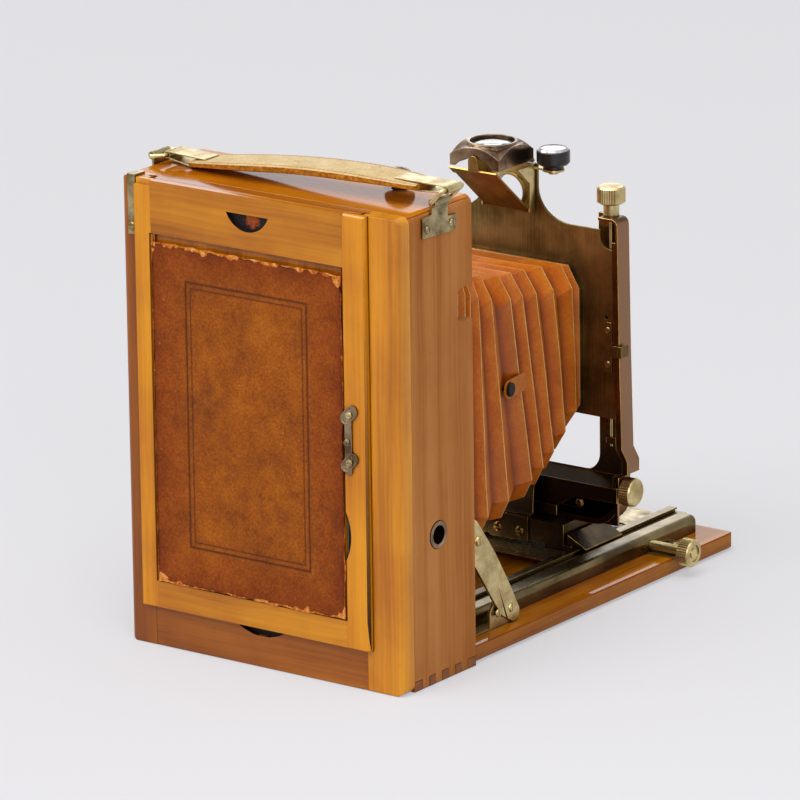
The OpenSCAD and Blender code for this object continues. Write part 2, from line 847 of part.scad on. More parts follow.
// The folded bracket behind the base: a screwed leaf, a step and an apron
// that rises behind the standard
tail_x = -6;
tail_w = 10;
tail_pitch = 5.75;
module tail_bracket() {
    t = 0.8;
    y = -base_y1;
    top = base_top;
    color(brass) placed() {
        difference() {
            block([tail_x - tail_w, y, base_z - 1.4], [tail_x + tail_w, y + t, top + gap]);
            for (x = [-tail_pitch, tail_pitch]) rod_y(y - 1, y + 2, tail_x + x, top - 6, 1.25);
        }
        along_x(tail_x - tail_w, tail_x + tail_w) polygon([[y, top], [y + t, top],
            [y + t, top + t], [y - 1.6, top + t], [y - 1.6, top + 1.8], [y - 2.4, top + 1.8],
            [y - 2.4, top]]);
        along_x(tail_x - tail_w - 1, tail_x + tail_w) polygon(concat(
            [[y - 2.4, top + 1.8], [y - 1.6, top + 1.8]],
            [for (i = [0 : 6]) [y - 1.7 - 2.6 * (1 - cos(13 * i)), top + 2 + 3 * i]],
            [for (i = [6 : -1 : 0]) [y - 2.5 - 2.6 * (1 - cos(13 * i)), top + 2 + 3 * i]]));
        for (x = [-tail_pitch, tail_pitch]) {
            rod_y(y - 3.5, y + t, tail_x + x, top - 6, 1.2);
            translate([tail_x + x, y + t, top - 6]) rotate([-90, 0, 0]) screw_head(1.9, 0.7);
        }
    }
}

// Block and gib that the U-shaped standard slides on from side to side
cross_half = 20;
module cross_block() {
    y0 = -stand_y + sheet + gap;
    y1 = -stand_y + flange_d - sheet - gap;
    gib_y = -stand_y + flange_d + gap;
    color(dark_brass) placed() difference() {
        union() {
            block([-cross_half, cross_neck_y0, base_top], [cross_half, cross_neck_y1, foot_z + sheet + gap]);
            along_x(-cross_half, cross_half) polygon([[y0, foot_z + sheet + gap],
                [y0, sill_z - 1.9], [y1, sill_z - 5.2], [y1, foot_z + sheet + gap]]);
            block([-cross_half, y1 - 0.1, foot_z + 3 + gap], [cross_half, gib_y, foot_z + 5.7]);
            block([-26, gib_y, foot_z + 1], [26, gib_y + sheet, foot_z + 5.7]);
        }
        rod_x(-cross_half - 1, cross_half + 1, -cross_y, cross_z, cross_r + run_gap);
    }
}
cross_neck_y0 = 2.6 - stand_y;
cross_neck_y1 = 6.4 - stand_y;

// Section of a pinch grip, drawn as (x, z)
module grip_section() {
    x0 = base_w + pinch + gap;
    x1 = rail_x + 4.1 + pinch + 0.7;
    z = deck_z;
    polygon([[x0, z + 0.35], [x0, z + 5], [x1 + 0.7, z + 0.1], [x1 + 0.7, z - 1.3],
        [x1, z - 1.3], [x1, z - 0.1], [x1 - 1.2, z + 0.35]]);
}

module grip_shape() {
    along_y(0.5 - base_y0, -base_y1 - 0.7) grip_section();
    for (p = grip_pins)
        rod_x(base_w - 7, base_w + pinch + gap + 0.5, p[0] - base_y0, base_z + p[1], grip_pin_r);
}

module grip_left() {
    color(dark_brass) placed() grip_shape();
}

module grip_right() {
    color(dark_brass) placed() mirror([1, 0, 0]) grip_shape();
}

// Standard

// Right half of the standard's outline, drawn inwards by t
function stand_half(t) = concat(
    arc(44, foot_z + 13, 13 - t, -90, 0, 8),
    [[57 - t, sill_z + 1.4], [flare_x - t, sill_z + 3.6], [flare_x - t, sill_z + 9],
        [58.7 - t, sill_z + 14], [57.6 - t, sill_z + 58], [56.8 - t, stand_top - 3 - t]],
    arc(53.8, stand_top - 3, 3 - t, 0, 90, 4));

module mirrored(points) {
    polygon(concat(points, [for (i = [len(points) - 1 : -1 : 0]) [-points[i][0], points[i][1]]]));
}

// The opening between the posts, drawn as (x, z)
module throat(x, z, r) {
    polygon(concat([[x, stand_top + 5]], arc(x - r, z + r, r, 0, -90, 8),
        arc(r - x, z + r, r, -90, -180, 8), [[-x, stand_top + 5]]));
}

cover_x = 56.6;
cover_z = sill_z - 3.5;
module front_frame() {
    y0 = -stand_y;
    y1 = y0 + flange_d;
    color(dark_brass) placed() {
        difference() {
            union() {
                along_y(y0, y0 + sheet) difference() {
                    mirrored(stand_half(0));
                    throat(throat_x, sill_z, 8);
                }
                along_y(y0 + sheet, y1) difference() {
                    mirrored(stand_half(0));
                    mirrored(stand_half(sheet));
                    translate([-rise_x + 2.5, stand_top - 5]) square([2 * rise_x - 5, 10]);
                }
                along_y(y1 - sheet, y1) difference() {
                    mirrored(stand_half(sheet));
                    mirrored(stand_half(3));
                    translate([-56, stand_top - 10]) square([112, 20]);
                }
                // the base is closed behind, with a raised cover on it
                along_x(-cover_x, cover_x) polygon([[y0 + sheet, sill_z - 1.4], [y0 + sheet, sill_z - 0.2],
                    [y1, cover_z], [y1, foot_z + 6], [y1 - sheet, foot_z + 6], [y1 - sheet, cover_z - 0.6]]);
                along_y(y1, y1 + 0.7) mirrored([[cover_x, foot_z + 11], [cover_x, cover_z],
                    [0, cover_z]]);
                along_y(y1, y1 + 0.7) mirrored([[27, foot_z + 6], [35, foot_z + 11.2], [0, foot_z + 11.2]]);
                pair() translate([37, y1 - sheet, foot_z + 8.2]) rotate([-90, 0, 0]) screw_head(2, sheet + 0.9);
                pair() block([30, y1 - sheet, foot_z + 1], [cover_x, y1 - 0.2, foot_z + 11]);
                block([-rise_x - 2.5, y0 + sheet, sill_z + 14],
                    [2.5 - rise_x, -panel_y0 - glide, sill_z + 17]);
            }
            // slot for the neck of the cross block
            block([-29, cross_neck_y0 - gap, foot_z - 1], [29, cross_neck_y1 + gap, foot_z + sheet + 0.2]);
            rod_x(-80, 80, -cross_y, cross_z, cross_r + run_gap);
            rod_z(sill_z, stand_top + 1, -rise_x, -rise_y, rise_r + run_gap);
        }
    }
}

module cross_screw() {
    x = 57.3;
    color(brass) placed() {
        rod_x(-x, 56, -cross_y, cross_z, cross_r);
        translate([-x, -cross_y, cross_z]) milled_knob(knob_r, 5.7);
    }
}

// Rising panel, with the tab that carries the finder
panel_bottom = lens_z - 31.8;
panel_shoulder = lens_z + 50.2;
function panel_half() = concat(
    [[panel_x - 2, panel_bottom], [panel_x, panel_bottom + 2],
        [panel_x, panel_shoulder - 8.1]],
    arc(panel_x - 4.7, panel_shoulder - 3.1, 5, -90, -180, 5),
    [[panel_x - 9.7, panel_shoulder]],
    [for (i = [0 : 8]) let (a = 90 - 90 * i / 8)
        [tab_x + 16.3 - 16.3 * cos(a), panel_shoulder + 14.3 - 14.3 * sin(a)]],
    [[tab_x, tab_z]]);

module rising_panel() {
    color(dark_brass) placed() difference() {
        along_y(-panel_y0, -panel_y1) mirrored(panel_half());
        rod_y(-panel_y0 - 1, 1 - panel_y1, 0, lens_z, 22);
        rod_y(-panel_y0 - 1, 1 - panel_y1, 0, tab_z - 13.3, finder_hole_r);
        rod_y(-panel_y0 - 1, 1 - panel_y1, -rise_x + 1.1, lens_z + 12.4, 0.9);
    }
}

module rise_nut() {
    color(brass) placed() difference() {
        block([-rise_x - 2.5, -stand_y + sheet + 0.15, lens_z + 27],
            [2.5 - rise_x, -panel_y0, lens_z + 35]);
        rod_z(0, 200, -rise_x, -rise_y, rise_r + run_gap);
    }
}

// Clips that hold the panel back against the posts
module clip_shape() {
    t = 0.7;
    back_y = -stand_y + flange_d + 0.5;
    out_x = 58.7;
    block([panel_x - 7.7, -panel_y1, clip_z - 11], [panel_x - 3.7, -panel_y1 + t, clip_z + 11]);
    block([panel_x - 4, -panel_y1, clip_z - 2.5], [panel_x - 1.6, -panel_y1 + t, clip_z + 2.5]);
    block([panel_x - 2.3, -panel_y1, clip_z - 2.5], [panel_x - 1.6, back_y + t, clip_z + 2.5]);
    block([panel_x - 2.3, back_y, clip_z - 2.5], [out_x + t, back_y + t, clip_z + 2.5]);
    block([out_x, back_y - 5, clip_z - 2.5], [out_x + t, back_y + t, clip_z + 2.5]);
}

module panel_clips() {
    color(brass) placed() pair() clip_shape();
}

module panel_screws() {
    color(brass) placed() {
        pair() for (z = [-7.5, 7.5])
            translate([panel_x - 5.7, 0.7 - panel_y1, clip_z + z]) rotate([-90, 0, 0])
                screw_head(1.5, 0.5);
        for (x = [-28, 28], z = [-27, 27])
            translate([x, -panel_y0 - board_d, lens_z + z]) rotate([90, 0, 0]) screw_head(1.6, 0.5);
    }
}

module rise_screw() {
    color(brass) placed() {
        rod_z(sill_z + 13, stand_top + 6, -rise_x, -rise_y, rise_r);
        rod_z(stand_top + 0.15, stand_top + 5.5, -rise_x, -rise_y, 3.4);
        translate([-rise_x, -rise_y, stand_top + 5.3]) rotate([0, 90, 0])
            milled_knob(knob_r - 0.15, 7.3);
    }
}

// Finder

pin_y = -lid_y0;
pin_z = tab_z + 1.25;
module finder_plate() {
    t = 0.8;
    y = -panel_y1;
    color(brass) placed() {
        difference() {
            union() {
                block([-finder_x, y, mirror_z - 4.5], [finder_x, y + t, tab_z]);
                rod_y(y + t, y + 1.8, 0, tab_z - 13.3, finder_hole_r + 1);
                pair() along_x(finder_x - t, finder_x) polygon([[y, mirror_z - 4], [y + 4.3, mirror_z - 4],
                    [y + 4.3, tab_z - 8], [y + 13, tab_z - 0.2], [y, tab_z - 0.2]]);
                rod_x(-4.8, 4.8, pin_y, pin_z, 0.9);
                block([-4.8, pin_y - 0.9, tab_z - 1.6], [4.8, pin_y + 0.9, pin_z]);
                // arm under the spirit level
                block([-level_x, -panel_y0, level_z - 0.9], [-tab_x - 0.1, y + 2, level_z]);
                block([-tab_x - 1, y, level_z - 0.9], [-finder_x, y + 2, level_z]);
                rod_z(level_z - 0.9, level_z, -level_x, 0.6 - panel_y0, 4.8);
                rod_z(level_z - 2.2, level_z - 0.9, -level_x, 0.6 - panel_y0, 2.2);
            }
            rod_y(y - 1, y + 3, 0, tab_z - 13.3, finder_hole_r);
            rod_x(-finder_x - 1, finder_x + 1, -mirror_y, mirror_z, 0.65);
            block([-5, pin_y - 3, tab_z - 2], [5, -panel_y1, tab_z]);
        }
        rod_x(-finder_x + 0.5, finder_x - 0.5, pin_y, pin_z, 0.4);
    }
}

// The sloping mirror, its pivot and the tongue that latches the lid
module finder_mirror() {
    t = 0.8;
    top_y = -lid_y1 + 0.4;
    top_z = tab_z + 0.9;
    dy = top_y + mirror_y;
    dz = top_z - mirror_z;
    slope = atan2(dz, dy);
    w = finder_x - 1;
    color(brass) placed() {
        difference() {
            translate([0, -mirror_y, mirror_z]) rotate([slope, 0, 0]) {
                block([-w, -0.3, -0.4], [w, norm([dy, dz]) - 4, t - 0.4]);
                block([-w, norm([dy, dz]) - 4.5, -0.4], [w + 1.2, norm([dy, dz]), t - 0.4]);
            }
            block([-50, 0.9 - panel_y1 - 20, 0], [50, 0.95 - panel_y1, 400]);
        }
        rod_x(-finder_x, finder_x, -mirror_y, mirror_z, 0.6);
        along_y(top_y - 0.1, top_y + 0.7) {
            translate([-2.4, top_z - 0.6]) square([4.8, 4.6]);
            translate([0, top_z + 4]) circle(2.4);
        }
    }
}

// The pillow-shaped lid with its lens ring
dome_r = 21.5;
dome_z = lid_z + 8.8 - dome_r;
lid_mid = -(lid_y0 + lid_y1) / 2;
module lid_body(inset, z0) {
    intersection() {
        block([inset - finder_x, inset - lid_y0 + 1.2, z0],
            [finder_x - inset, -lid_y1 - inset, lid_z + 20]);
        union() {
            rod_x(-finder_x, finder_x, lid_mid, dome_z, dome_r - inset, $fn = 120);
            rod_y(-lid_y0, -lid_y1, 0, dome_z, dome_r - inset, $fn = 120);
        }
    }
}

module finder_lid() {
    color(brass) placed() difference() {
        union() {
            difference() {
                lid_body(0, lid_z);
                lid_body(1, lid_z - 1);
            }
            translate([0, lid_mid, lid_z + 7.4]) cylinder(h = 2.1, r = finder_lens_r + 1.2);
            pair() difference() {
                union() {
                    rod_x(5.2, finder_x - 1, pin_y, pin_z, 0.9);
                    block([5.2, pin_y, lid_z - 0.4], [finder_x - 1, pin_y + 2, lid_z + 1]);
                }
                rod_x(5, finder_x, pin_y, pin_z, 0.45);
            }
        }
        translate([0, lid_mid, lid_z + 4]) cylinder(h = 9, r = finder_lens_r);
        pair() rod_x(5, finder_x, pin_y, pin_z, 0.45);
        // arched cut in the rear wall
        along_y(-lid_y1 - 2, 1 - lid_y1) translate([0, lid_z - 9.8]) circle(14);
    }
}

module finder_lens() {
    color(clear_glass) placed() translate([0, lid_mid, lid_z + 6.6]) intersection() {
        cylinder(h = 4, r = finder_lens_r - 0.05);
        translate([0, 0, 2.6 - 30]) sphere(30, $fn = 96);
    }
}

module spirit_level() {
    color(black_metal) placed() translate([-level_x, -panel_y0 + 0.6, level_z])
        rotate_extrude() polygon([[0, 0], [4.4, 0], [4.4, 1.4], [level_r - 0.8, 2], [level_r, 3],
            [level_r, 7.8], [level_r - 1.4, 9.1], [level_r - 2, 8.8], [0, 8.8]]);
}

// Lens

board_d = 1.6;
module lens_board() {
    w = 32;
    h = 31;
    color(black_metal) placed() difference() {
        along_y(-panel_y0 - board_d, -panel_y0) translate([-w, lens_z - h]) round_rect(2 * w, 2 * h, 5);
        rod_y(-panel_y0 - 4, 1 - panel_y0, 0, lens_z, 18);
    }
}

shutter_y = panel_y0 + board_d;
lever_y = shutter_y + 5;
lever_r = shutter_r - 3.5;
module shutter_case() {
    color(black_metal) placed() {
        difference() {
            union() {
                rod_y(-shutter_y - shutter_d, -shutter_y, 0, lens_z, shutter_r);
                rod_y(-shutter_y, 3 - panel_y1, 0, lens_z, 17.5);
            }
            rod_y(-shutter_y - shutter_d - 1, 5 - panel_y1, 0, lens_z, 14);
            // side slots for the two levers
            difference() {
                union() {
                    block([15, -lever_y - 1.2, lens_z - 12], [shutter_r + 2, 1.2 - lever_y, lens_z + 12]);
                    block([-9, -lever_y - 1.2, lens_z + 15], [9, 1.2 - lever_y, lens_z + shutter_r + 2]);
                }
                rod_y(-lever_y - 2, 2 - lever_y, 0, lens_z, lever_r - 0.5);
            }
        }
        // retaining ring behind the panel
        difference() {
            rod_y(-panel_y1, 3 - panel_y1, 0, lens_z, 24);
            rod_y(-panel_y1 - 1, 5 - panel_y1, 0, lens_z, 17.4);
        }
    }
}

module lens_barrel() {
    y = -shutter_y - shutter_d;
    color(brass) placed() difference() {
        union() {
            rod_y(y - 7, y, 0, lens_z, 17);
            rod_y(y, y + 20, 0, lens_z, 13.95);
            rod_y(y - 7, y - 5, 0, lens_z, 18);
        }
        rod_y(y - 8, y - 3, 0, lens_z, 15);
        rod_y(y - 4, y + 21, 0, lens_z, 12);
    }
}

module lens_glass() {
    y = -shutter_y - shutter_d;
    color(clear_glass) placed() {
        rod_y(y - 2.9, y, 0, lens_z, 11.95);
        intersection() {
            rod_y(y - 6, y - 2.9, 0, lens_z, 11.95);
            translate([0, y + 24.5, lens_z]) sphere(30, $fn = 96);
        }
        rod_y(y + 13, y + 18, 0, lens_z, 11.95);
    }
}

module release_lever() {
    t = 0.6;
    x = shutter_r + 9;
    color(brass) placed() difference() {
        union() {
            block([lever_r, -lever_y - t, lens_z - 1.2], [x, t - lever_y, lens_z + 1.2]);
            rod_y(-lever_y - t, t - lever_y, x, lens_z, 2.4);
        }
        rod_y(-lever_y - 1, 1 - lever_y, x, lens_z, 0.8);
    }
}

module iris_lever() {
    t = 0.6;
    z = lens_z + shutter_r + 4;
    color(brass) placed() {
        block([-1, -lever_y - t, lens_z + lever_r], [1, t - lever_y, z]);
        rod_y(-lever_y - 1.5, 1.5 - lever_y, 0, z + 0.5, 1.4);
    }
}

// Bellows

module octagon(w, h, c) {
    translate([0, front_z]) polygon([[w, c - h], [w, h - c], [w - c, h], [c - w, h], [-w, h - c],
        [-w, c - h], [c - w, -h], [w - c, -h]]);
}

module bellows_front_frame() {
    y = -panel_y1;
    color(black_metal) placed() difference() {
        along_y(y, y + 2) octagon(front_w, front_h, 10);
        along_y(y - 1, y + 3) octagon(front_w - 4, front_h - 4, 8);
    }
}

// Where the folds' crests stand, from rear to front: the bellows is pressed
// together in the body and pulled out towards the standard
crests = [0, 0.09, 0.17, 0.24, 0.295, 0.34, 0.3775, 0.4076, 0.468, 0.5586, 0.672, 0.738, 0.807,
    0.887, 0.97, 1];
folds = len(crests) - 1;
function mid(a, b, u) = a + (b - a) * u;
// How the top and the bottom hang below straight lines, and how the lower
// parts of the middle folds lean forwards
function sag(u) = lookup(u, [[0, 0], [0.2, 6], [0.38, 10], [0.52, 9.3], [0.62, 8.1], [0.76, 4.1],
    [0.85, 2], [0.95, 0], [1, 0]]);
function belly(u) = lookup(u, [[0, 0], [0.25, -3], [0.45, -4], [0.6, 1], [0.73, 3.5], [0.86, 3],
    [0.93, 0], [1, 0]]);
function lean(u) = u > 0.4 ? 18 * sin(300 * (u - 0.4)) : 0;

// A ring of the bellows with its corners cut, at fraction u from rear to
// front and drawn in by t
bellows_l = bellows_y0 + bellows_y1;
function ring(u, t) = let (
    w = mid(rear_w, front_w, u) - t,
    c = mid(12, 10, u),
    top = mid(rear_z + rear_h, front_z + front_h, u) - sag(u),
    bottom = mid(rear_z - rear_h, front_z - front_h, u) - belly(u),
    hi = top - t,
    lo = bottom + t,
    slope = lean(u) / (top - bottom),
    y = bellows_y0 - bellows_l * u - slope * (top + bottom) / 2)
    [for (p = [[w, lo + c], [w, hi - c], [w - c, hi], [c - w, hi], [-w, hi - c], [-w, lo + c],
        [c - w, lo], [w - c, lo]]) [p[0], y + slope * p[1], p[1]]];
// Crests are whole numbers and valleys lie halfway
function crest_u(i) = (crests[floor(i)] + crests[ceil(i)]) / 2;

// A stretch of folds from fold a to fold b as one closed skin
module bellows_skin(a, b) {
    n = 2 * (b - a);
    inner = [for (i = [0 : n]) ring(crest_u(a + i / 2), fold_d * (i % 2) + skin)];
    outer = [for (i = [n : -1 : 0]) ring(crest_u(a + i / 2), fold_d * (i % 2))];
    rings = concat(inner, outer);
    m = len(rings);
    points = [for (r = rings) for (p = r) p];
    faces = [for (j = [0 : m - 1]) for (k = [0 : 7]) let (j2 = (j + 1) % m, k2 = (k + 1) % 8)
        for (f = [[8 * j + k, 8 * j + k2, 8 * j2 + k2], [8 * j + k, 8 * j2 + k2, 8 * j2 + k]]) f];
    polyhedron(points, faces);
}

module bellows_1() {
    color(bellows_tan) placed() bellows_skin(0, 2);
}

module bellows_2() {
    color(bellows_tan) placed() bellows_skin(2, folds - 3);
}

module bellows_3() {
    color(bellows_tan) placed() bellows_skin(folds - 3, folds - 2);
}

module bellows_4() {
    color(bellows_tan) placed() bellows_skin(folds - 2, folds);
}

// Sliding back

module back_frame() {
    x0 = open_lo - frame_right;
    x1 = open_hi + frame_left;
    thumb_w = 21.3;
    thumb_h = 7.2;
    thumb_r = (thumb_w * thumb_w / 4 + thumb_h * thumb_h) / (2 * thumb_h);
    color(honey) placed() difference() {
        block([x0, frame_y, frame_z], [x1, frame_out, body_h]);
        block([open_lo, frame_y - 1, open_z], [open_hi, frame_out + 1, open_top]);
        block([open_lo - glass_lap - gap, frame_y - 1, open_z - glass_lap - gap],
            [open_hi + glass_lap + gap, frame_y + glass_t + glide, open_top + glass_lap + gap]);
        rod_z(open_z - 4, open_top + 4, door_axis_x, door_axis_y, door_pin_r + 0.01);
        // cove for the hinged edge of the door
        rod_z(open_z, open_top, door_axis_x, door_axis_y, 2.2);
        // thumb recess, finger notch beside the door and the catch's corner
        intersection() {
            rod_y(frame_out - 2, frame_out + 1, open_x - 1, body_h - 14.7 + thumb_r, thumb_r);
            block([-half_w, 0, body_h - 15], [half_w, 2 * body_d, body_h - 7.5]);
        }
        rod_y(frame_out - 1.8, frame_out + 1, open_lo - 2.5 + 22, open_z + 36, 22);
        for (p = catch_screws) rod_y(frame_out - 2.5, frame_out + 1, p[0], p[1], 0.61);
        block([x1 - 8, frame_out - 1.5, body_h - 2.4], [x1 + 1, frame_out + 1, body_h + 1]);
    }
}

// Brass strips that hook the sliding back to the stiles and hold the glass
module runner(x_in) {
    x1 = x_in - gap;
    x0 = x1 - 1.6;
    y0 = groove_y0 + gap;
    z0 = open_z;
    z1 = body_h - 24;
    block([x0, y0, z0], [x1, frame_y, z1]);
    block([x0, y0, z0], [x_in + groove_d - gap, y0 + 1, z1]);
}

module back_runners() {
    color(brass) placed() {
        runner(left_x);
        mirror([1, 0, 0]) runner(right_x);
        // strips over the edges of the glass
        block([open_hi + gap, strip_y, open_z], [left_x - gap, frame_y, body_h - 24]);
        block([gap - right_x, strip_y, open_z], [open_lo - gap, frame_y, body_h - 24]);
    }
}

module ground_glass() {
    color(clear_glass) placed() block(
        [open_lo - glass_lap, frame_y + 0.05, open_z - glass_lap],
        [open_hi + glass_lap, frame_y + glass_t, open_top + glass_lap]);
}

// The door's hinge pin and the two screws that the catch slides on
module back_fasteners() {
    color(brass) placed() {
        rod_z(open_z - 4, open_top + 4, door_axis_x, door_axis_y, door_pin_r);
        for (p = catch_screws) {
            rod_y(frame_out - 2.5, frame_out + 0.95, p[0], p[1], 0.6);
            translate([p[0], frame_out + 0.95, p[1]]) rotate([-90, 0, 0]) screw_head(1.5, 0.6);
        }
    }
}

// Leather-covered door on a long pin
module door() {
    x0 = open_lo + gap;
    z0 = open_z + gap;
    z1 = open_top - gap;
    r = door_t / 2;
    color(hide) placed() {
        difference() {
            union() {
                block([x0, door_y, z0], [door_axis_x, door_y + door_t, z1]);
                rod_z(z0, z1, door_axis_x, door_axis_y, r);
                block([x0, door_y + door_t, z0], [door_axis_x + 0.9, door_y + door_t + leather_t, z1]);
            }
            rod_z(z0 - 1, z1 + 1, door_axis_x, door_axis_y, door_pin_r + run_gap);
        }
    }
}

catch_travel = 1.5;

// A slot from its first centre along +X
module slot_shape(l, r) {
    circle(r);
    translate([0, -r]) square([l, 2 * r]);
    translate([l, 0]) circle(r);
}

// The latch bar with its two slotted holes, at the free edge of the door
catch_lo = open_z + 62.6;
catch_screws = [[open_lo - 2.8, catch_lo + 25.1], [open_lo - 2.8, catch_lo + 5.1]];
module door_catch() {
    w = 3.6;
    t = 0.8;
    h = 27.7;
    x1 = open_lo - 0.4;
    color(brass) placed() {
        difference() {
            union() {
                along_y(frame_out + 0.05, frame_out + 0.05 + t)
                    translate([x1 - w, catch_lo]) round_rect(w, h, 1.2);
                rod_y(frame_out + 0.05, frame_out + 1.7, x1 - 1.3, catch_lo + 13.5, 1.2);
            }
            // slots that run with the bar's slanting travel
            for (p = catch_screws) along_y(frame_out - 1, frame_out + 2)
                translate(p) rotate(-45) slot_shape(catch_travel, 0.75);
        }
    }
}

side_left();
side_right();
top_board();
bottom_board();
rear_stiles();
rear_rails();
bellows_rear_frame();
tripod_bush();
handle_plates();
handle_loops();
handle_ferrules();
handle_strap();
back_spring_catch();
case_screws();
bed();
bed_hinge();
bed_struts();
strut_brackets();
outer_rails();
shaft_bearing();
bed_release_button();
focus_rails();
focus_racks();
focus_plate();
focus_shaft();
focus_knob();
base_block();
tail_bracket();
cross_block();
grip_left();
grip_right();
front_frame();
cross_screw();
rising_panel();
rise_nut();
panel_clips();
panel_screws();
rise_screw();
finder_plate();
finder_mirror();
finder_lid();
finder_lens();
spirit_level();
lens_board();
shutter_case();
lens_barrel();
lens_glass();
release_lever();
iris_lever();
bellows_front_frame();
bellows_1();
bellows_2();
bellows_3();
bellows_4();
back_frame();
back_runners();
ground_glass();
back_fasteners();
door();
door_catch();
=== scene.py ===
# %% [markdown]
# # A tropical plate camera
# A wooden camera of about 1910 stands open on its bed. The solids, their
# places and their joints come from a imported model, and this lesson gives them
# their finishes and adds the soft pieces: the leather door, the strap and the
# pleated bellows. Lengths are in metres, +Z is up and the lens looks along -Y.

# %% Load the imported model
import json
import math

import bmesh
import bpy
from mathutils import Matrix, Vector, noise


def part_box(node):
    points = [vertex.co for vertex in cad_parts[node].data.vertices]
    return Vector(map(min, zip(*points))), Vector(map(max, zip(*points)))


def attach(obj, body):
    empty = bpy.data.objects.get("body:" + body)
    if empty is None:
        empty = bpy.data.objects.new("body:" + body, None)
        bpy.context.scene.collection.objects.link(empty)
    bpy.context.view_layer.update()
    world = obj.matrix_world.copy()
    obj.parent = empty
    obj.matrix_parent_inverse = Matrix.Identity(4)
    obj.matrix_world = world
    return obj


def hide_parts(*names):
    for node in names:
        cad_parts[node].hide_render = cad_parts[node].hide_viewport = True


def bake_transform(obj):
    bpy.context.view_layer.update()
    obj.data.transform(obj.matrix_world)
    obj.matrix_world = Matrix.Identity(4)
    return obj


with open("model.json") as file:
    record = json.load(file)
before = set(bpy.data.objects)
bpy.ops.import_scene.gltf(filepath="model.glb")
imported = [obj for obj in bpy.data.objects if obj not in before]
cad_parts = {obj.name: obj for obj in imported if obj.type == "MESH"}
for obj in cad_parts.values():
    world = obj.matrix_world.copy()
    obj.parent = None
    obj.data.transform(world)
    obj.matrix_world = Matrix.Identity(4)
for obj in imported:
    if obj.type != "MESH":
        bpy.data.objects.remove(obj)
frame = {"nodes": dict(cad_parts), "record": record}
nodes = frame["nodes"]
body_of = {n: b for b, ns in frame["record"]["behaviour"]["bodies"].items() for n in ns}
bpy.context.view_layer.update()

# %% [markdown]
# ## A ruler
# Drawings of the camera give places in millimetres, with y = 0 on the front
# face of the wooden body. One small function turns such a place into Blender's
# metres, so the same numbers can be used in both.

# %% Millimetres from the body's front face
FRONT = 25.5
print("the front face stands at y =", -FRONT / 1000)


def mm(x, y, z):
    """A place in millimetres from the body's front face, in Blender's metres."""
    return Vector((x, y - FRONT, z)) / 1000


# %% [markdown]
# ## The camera that looks at the camera
# A long lens from three metres away keeps the upright edges nearly parallel.
# The axes are built by hand, right, up and back, because the picture is also
# turned by about one degree. The small shift puts the object left of the middle.
# The lens and the shift are given in pixels of a picture that is 800 wide.

# %% Make the view
AZIMUTH, ELEVATION, ROLL = math.radians(216.7631), math.radians(16.2306), math.radians(-0.8904)
PICTURE, FOCAL, SHIFT_X, SHIFT_Y = 800, 7413.22, 64.07, 5.52
DISTANCE = 3.05833
view_data = bpy.data.cameras.new("view")
view_data.sensor_width = 36
view_data.lens = FOCAL * 36 / PICTURE
view_data.shift_x = SHIFT_X / PICTURE
view_data.shift_y = SHIFT_Y / PICTURE
view_data.clip_end = 50
view_camera = bpy.data.objects.new("view", view_data)
bpy.context.scene.collection.objects.link(view_camera)
bpy.context.scene.camera = view_camera
back = Vector((math.sin(AZIMUTH) * math.cos(ELEVATION),
               -math.cos(AZIMUTH) * math.cos(ELEVATION), math.sin(ELEVATION)))
level_right = Vector((0, 0, 1)).cross(back).normalized()
level_up = back.cross(level_right)
right = math.cos(ROLL) * level_right + math.sin(ROLL) * level_up
up = math.cos(ROLL) * level_up - math.sin(ROLL) * level_right
place = Matrix((right, up, back)).transposed().to_4x4()
place.translation = mm(0, 0, 100) + back * DISTANCE
view_camera.matrix_world = place
print("lens", round(view_data.lens, 1), "mm, from", [round(v, 3) for v in place.translation])

# %% [markdown]
# ## Colours and nodes
# Colours are written as sRGB hex values, as a paint program shows them, and one
# function turns them into the linear values that shaders add up. Another adds a
# shader node with its settings and its links, so a material reads like a recipe.

# %% Helpers for materials


def colour(hex_value):
    """An sRGB hex value as the linear colour that a socket takes."""
    parts = [int(hex_value[i:i + 2], 16) / 255 for i in (1, 3, 5)]
    return tuple(p / 12.92 if p <= 0.04045 else ((p + 0.055) / 1.055) ** 2.4
                 for p in parts) + (1.0,)


def feed(tree, node, inputs):
    """Set a node's inputs, each to a value, a socket or another node's first output."""
    for key, value in inputs.items():
        if isinstance(value, bpy.types.Node):
            value = value.outputs[0]
        if isinstance(value, bpy.types.NodeSocket):
            tree.links.new(value, node.inputs[key])
        else:
            node.inputs[key].default_value = value


def add(tree, kind, inputs=None, stops=None, **settings):
    """A node with its settings, its inputs and the stops of its colour ramp."""
    made = tree.nodes.new("ShaderNode" + kind)
    for key, value in settings.items():
        setattr(made, key, value)
    feed(tree, made, inputs or {})
    if stops:
        ramp = made.color_ramp
        while len(ramp.elements) < len(stops):
            ramp.elements.new(1)
        for element, (at, value) in zip(ramp.elements, stops):
            element.position = at
            element.color = colour(value) if isinstance(value, str) else (value, value, value, 1)
    return made


def new_material(name):
    """A material with only a shader, its output and the object's own coordinates."""
    made = bpy.data.materials.new(name)
    made.use_nodes = True
    tree = made.node_tree
    tree.nodes.clear()
    shader = add(tree, "BsdfPrincipled")
    add(tree, "OutputMaterial", {"Surface": shader})
    coords = add(tree, "TexCoord").outputs["Object"]
    return made, tree, shader, coords


# %% [markdown]
# ## Floor and light
# The studio floor is pale paper that runs on past the edges of the picture. Two
# broad suns and an even sky light it the same everywhere. Paper lit only by
# lamps comes out patchy, so the camera and the reflections see a part of it as
# an even glow, and the rest still takes the object's soft shadow. The lamps on
# the object stay at a plain level, so that its colours come out as written.

# %% What the camera and the reflections see


